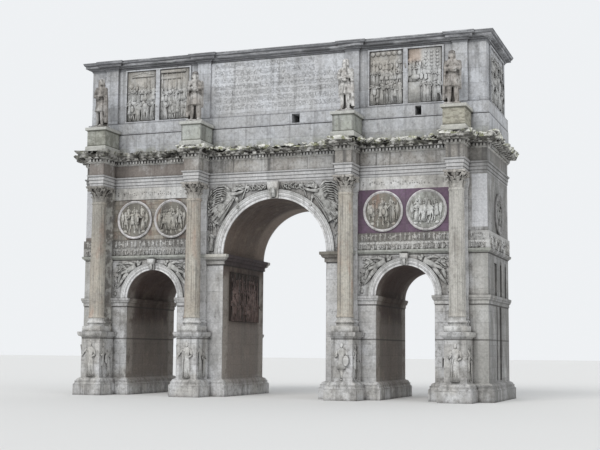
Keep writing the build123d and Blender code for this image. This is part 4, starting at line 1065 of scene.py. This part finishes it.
bm = bmesh.new()
limb(bm, (0, 0.03, 0), (0, -0.012, 0), 1.04, 1.04, 40)
plate = kept(bm)
roundels = [(count, x, place, seed)
            for count, x in enumerate([x + side * ROUNDEL_OFF for x in (-BAY_X, BAY_X) for side in (-1, 1)])
            for place, seed in ((FRONT, 201), (REAR, 231))]
bm = gathered((plate, place @ at(x, -WALL_Y - 0.07, ROUNDEL_Z)) for count, x, place, seed in roundels)
finished("roundel_grounds", bm, DISC, smooth=False)
bm = gathered((disc_scene(seed + count, count % 2), place @ at(x, -WALL_Y - 0.07, ROUNDEL_Z))
              for count, x, place, seed in roundels)
for turn in (EAST, WEST):
    crowd(bm, turn @ at(0, -WALL_X - 0.07, 10.0), 1.5, 1.2, 3, 261, depth=0.6, horses=2)
    crowd(bm, turn @ at(0, -WALL_X - 0.06, 10.3), 1.3, 1.2, 3, 262, depth=0.5)
finished("roundel_figures", bm, ROUND)

bm = bmesh.new()
chance = random.Random(12)
for x in COLUMN_XS:
    for place in FACES:
        stamp(bm, chance.choice(LARGE), place @ at(x, -4.95, PEDESTAL_DADO, 2.0, 1.1, 2.05))
        for side in (-1, 1):
            turn = Matrix.Rotation(side * math.pi / 2, 4, "Z")
            spot = place @ Matrix.Translation((x + side * 0.62, -4.25, PEDESTAL_DADO)) @ turn
            stamp(bm, chance.choice(LARGE), spot @ at(-side * 0.25, 0, 0, 1.7, 0.8, 2.0))
            stamp(bm, chance.choice(LARGE), spot @ at(side * 0.30, 0, 0, 1.5, 0.7, 1.7))
finished("pedestal_figures", bm, CARVED)

bm = bmesh.new()
for turn in (WEST, EAST):
    crowd(bm, turn @ at(0, 3.155, 4.50), 4.3, 1.45, 13, 301, SMALL, 0.55, 3)
    crowd(bm, turn @ at(0, 3.165, 5.25), 4.2, 1.35, 13, 302, SMALL, 0.50, 2)
    crowd(bm, turn @ at(0, 3.175, 6.05), 4.2, 1.20, 12, 303, SMALL, 0.45)
    for step in range(7):
        x = -1.95 + 0.62 * step
        limb(bm, turn @ Vector((x, 3.14, 5.9)), turn @ Vector((x + 0.25, 3.14, 7.35)), 0.035, 0.03, 6)
finished("passage_figures", bm, PASSAGE)


# Figures in the corners over the arches

def ribbon(bm, points, thick, thin, seg=6):
    """A fold of cloth or a feather along a run of points, tapering to its end."""
    steps = len(points) - 1
    for step in range(steps):
        wide = thick + (thin - thick) * step / steps
        slim = thick + (thin - thick) * (step + 1) / steps
        limb(bm, points[step], points[step + 1], wide, slim, seg)


def winged_figure():
    """A flying draped figure with a standard, leaning on the ring of the large arch right of its crown."""
    bm = bmesh.new()
    stamp(bm, LARGE[3], at(3.70, 0, 10.30) @ Matrix.Rotation(-0.52, 4, "Y") @ at(0, 0, 0, 2.9, 1.7, 2.45))
    for step in range(9):
        drop = 0.135 * step
        ribbon(bm, [(2.78 + 0.05 * step, -0.02, 12.22 - 0.6 * drop),
                    (3.15 + 0.04 * step, -0.08, 12.52 - drop),
                    (3.62 + 0.03 * step, -0.07, 12.50 - 1.1 * drop), (4.02, -0.04, 12.30 - 1.2 * drop),
                    (4.22, 0.0, 12.02 - 1.2 * drop)], 0.070, 0.035)
    for step in range(4):
        ribbon(bm, [(2.62, -0.05, 12.30 - 0.05 * step), (2.42 - 0.05 * step, -0.08, 12.50 - 0.07 * step),
                    (2.12 - 0.10 * step, -0.04, 12.54 - 0.10 * step)], 0.055, 0.03)
    ribbon(bm, [(2.80, -0.10, 12.00), (2.30, -0.12, 12.02), (1.88, -0.10, 12.22)], 0.085, 0.045, 8)
    limb(bm, (2.02, -0.06, 11.66), (1.70, -0.10, 12.58), 0.04, 0.035, 6)
    limb(bm, (1.42, -0.04, 12.20), (1.98, -0.04, 12.44), 0.035, 0.035, 6)
    ball(bm, (1.70, -0.05, 12.36), (0.15, 0.09, 0.13), 8)
    for step in range(11):
        x = 0.52 + 0.115 * step
        lift = 12.36 + 0.05 * math.sin(step * 1.7) - 0.012 * max(0, step - 6)
        for side in (-1, 1):
            ribbon(bm, [(x, -0.02, lift), (x + 0.07, -0.07, lift + side * 0.11),
                        (x + 0.19, -0.01, lift + side * 0.13)], 0.045, 0.02, 5)
    for step in range(12):
        t = step / 11
        sway = 0.10 * math.sin(step * 2.1)
        ribbon(bm, [(3.08 + 0.30 * t, -0.10, 11.40 + 0.10 * t),
                    (3.42 + 0.30 * t + sway, -0.13, 10.95 + 0.35 * t),
                    (3.52 + 0.55 * t - sway, -0.08, 10.45 + 0.60 * t),
                    (3.80 + 0.42 * t, -0.04, 10.15 + 0.80 * t),
                    (3.70 + 0.55 * t, 0.0, 9.78 + 1.05 * t)], 0.075, 0.035)
    for step in range(5):
        ribbon(bm, [(4.05 + 0.05 * step, -0.05, 10.9 + 0.16 * step), (4.18, -0.08, 10.75 + 0.2 * step),
                    (4.28, -0.02, 10.9 + 0.22 * step)], 0.05, 0.03)
    stamp(bm, LARGE[0], at(4.02, -0.02, 8.62, 1.15, 0.8, 1.22))
    for step in range(6):
        rise = 0.12 * step
        ribbon(bm, [(3.98, -0.02, 9.86 + rise), (4.08, -0.07, 9.98 + rise), (4.25, 0, 9.94 + rise)], 0.05,
               0.02, 5)
    return kept(bm)


def reclining_figure():
    """A river god leaning on the ring of a side arch, to the right of its crown."""
    bm = bmesh.new()
    limb(bm, (1.12, -0.02, 1.98), (1.72, -0.02, 1.62), 0.20, 0.19, 10)
    ball(bm, (0.98, -0.06, 2.16), (0.13, 0.12, 0.15), 8)
    ball(bm, (0.98, -0.12, 2.05), (0.08, 0.07, 0.10), 8)
    ribbon(bm, [(1.65, -0.05, 1.68), (2.15, -0.07, 1.48), (2.35, -0.04, 0.95)], 0.16, 0.07, 8)
    ribbon(bm, [(1.65, -0.06, 1.55), (2.02, -0.10, 1.12), (2.42, -0.04, 0.62)], 0.15, 0.06, 8)
    ribbon(bm, [(1.18, -0.06, 2.05), (1.58, -0.10, 2.18), (2.02, -0.06, 2.10)], 0.08, 0.05, 8)
    ribbon(bm, [(1.05, -0.06, 1.92), (0.85, -0.10, 2.12), (0.72, -0.08, 2.26)], 0.07, 0.04, 8)
    ball(bm, (2.16, -0.04, 1.92), (0.19, 0.10, 0.15), 8)
    for step in range(7):
        ribbon(bm, [(1.50 + 0.08 * step, -0.08, 1.72 + 0.05 * step),
                    (1.9 + 0.06 * step, -0.08, 1.55 + 0.1 * step),
                    (2.42, -0.02, 1.15 + 0.14 * step)], 0.06, 0.03)
        ribbon(bm, [(2.58, 0, 0.12 + 0.16 * step), (2.46 + 0.07 * (step % 3), -0.04, 0.28 + 0.16 * step),
                    (2.64, 0, 0.40 + 0.16 * step)], 0.05, 0.03)
    return kept(bm)


def weathered(shape, size, loss):
    """The same shape with its surface broken up by a noise, as worn carving is."""
    bm = bmesh.new()
    bm.from_mesh(shape)
    long = [edge for edge in bm.edges if edge.calc_length() > 0.13]
    bmesh.ops.subdivide_edges(bm, edges=long, cuts=1, use_grid_fill=True)
    for vert in bm.verts:
        vert.co += noise.noise_vector(vert.co / size) * loss
    return kept(bm)


winged = weathered(winged_figure(), 0.14, 0.075)
river = weathered(reclining_figure(), 0.13, 0.10)
bm = bmesh.new()
for place in FACES:
    for side in (-1, 1):
        stamp(bm, winged, place @ at(0, -WALL_Y - 0.01, 0, side, 1.15, 1))
        for bay in (-SIDE_ARCH_X, SIDE_ARCH_X):
            stamp(bm, river, place @ at(bay, -WALL_Y + 0.01, SIDE_SPRING, side, 0.8, 1))
    stamp(bm, LARGE[5], place @ at(0, -WALL_Y - 0.29, 11.72, 1.0, 0.75, 0.86))
    for bay in (-SIDE_ARCH_X, SIDE_ARCH_X):
        stamp(bm, LARGE[0], place @ at(bay, -WALL_Y - 0.26, 7.57, 0.72, 0.6, 0.60))
finished("corner_figures", bm, SPANDREL)


# Floor, light and camera

pale_floor = bpy.data.materials.new("pale_floor")
pale_floor.use_nodes = True
surface = pale_floor.node_tree.nodes["Principled BSDF"]
surface.inputs["Base Color"].default_value = (0.72, 0.72, 0.71, 1.0)
surface.inputs["Roughness"].default_value = 0.95
surface.inputs["Specular IOR Level"].default_value = 0.1
bm = bmesh.new()
bmesh.ops.create_grid(bm, x_segments=1, y_segments=1, size=400)
floor_mesh = kept(bm)
floor_mesh.materials.append(pale_floor)
floor = bpy.data.objects.new("floor", floor_mesh)
bpy.context.scene.collection.objects.link(floor)

world = bpy.data.worlds.new("studio")
bpy.context.scene.world = world
world.use_nodes = True
tree = world.node_tree
tree.nodes.clear()
soft = put(tree, "Background", {"Color": (0.93, 0.96, 1.0), "Strength": 0.62})
seen = put(tree, "Background", {"Color": (0.86, 0.88, 0.90), "Strength": 1.0})
ray = put(tree, "LightPath").outputs
shown = put(tree, "Math", {0: ray["Is Camera Ray"], 1: ray["Is Glossy Ray"]}, operation="MAXIMUM")
shown = put(tree, "Math", {0: shown.outputs[0], 1: ray["Is Transmission Ray"]}, operation="MAXIMUM")
both = put(tree, "MixShader", {0: shown.outputs[0], 1: soft.outputs[0], 2: seen.outputs[0]})
put(tree, "OutputWorld", {0: both.outputs[0]})

for name, strength, angle, aim in (
    ("key", 1.50, 35, (0.20, 0.80, -0.72)),
    ("fill", 0.50, 60, (-0.8, 0.5, -0.45)),
    ("rear", 0.5, 60, (0.1, -0.8, -0.6)),
):
    lamp = bpy.data.lights.new(name, "SUN")
    lamp.energy = strength
    lamp.angle = math.radians(angle)
    lamp.color = (1.0, 0.99, 0.975)
    thing = bpy.data.objects.new(name, lamp)
    thing.rotation_euler = Vector(aim).to_track_quat("-Z", "Y").to_euler()
    bpy.context.scene.collection.objects.link(thing)

yaw, pitch, roll = (math.radians(angle) for angle in (19.906, 6.315, 0.458))
forward = Vector((-math.sin(yaw) * math.cos(pitch), math.cos(yaw) * math.cos(pitch), math.sin(pitch)))
right = Vector((math.cos(yaw), math.sin(yaw), 0))
up = right.cross(forward)
tilted_right = right * math.cos(roll) + up * math.sin(roll)
tilted_up = up * math.cos(roll) - right * math.sin(roll)
lens = bpy.data.cameras.new("camera")
lens.sensor_width = 36.0
lens.lens = 68.64
lens.clip_end = 1000
camera = bpy.data.objects.new("camera", lens)
camera.matrix_world = (Matrix.Translation((24.269, -65.824, 2.675))
                       @ Matrix((tilted_right, tilted_up, -forward)).transposed().to_4x4())
bpy.context.scene.collection.objects.link(camera)
bpy.context.scene.camera = camera
bpy.context.scene.view_settings.view_transform = "Standard"
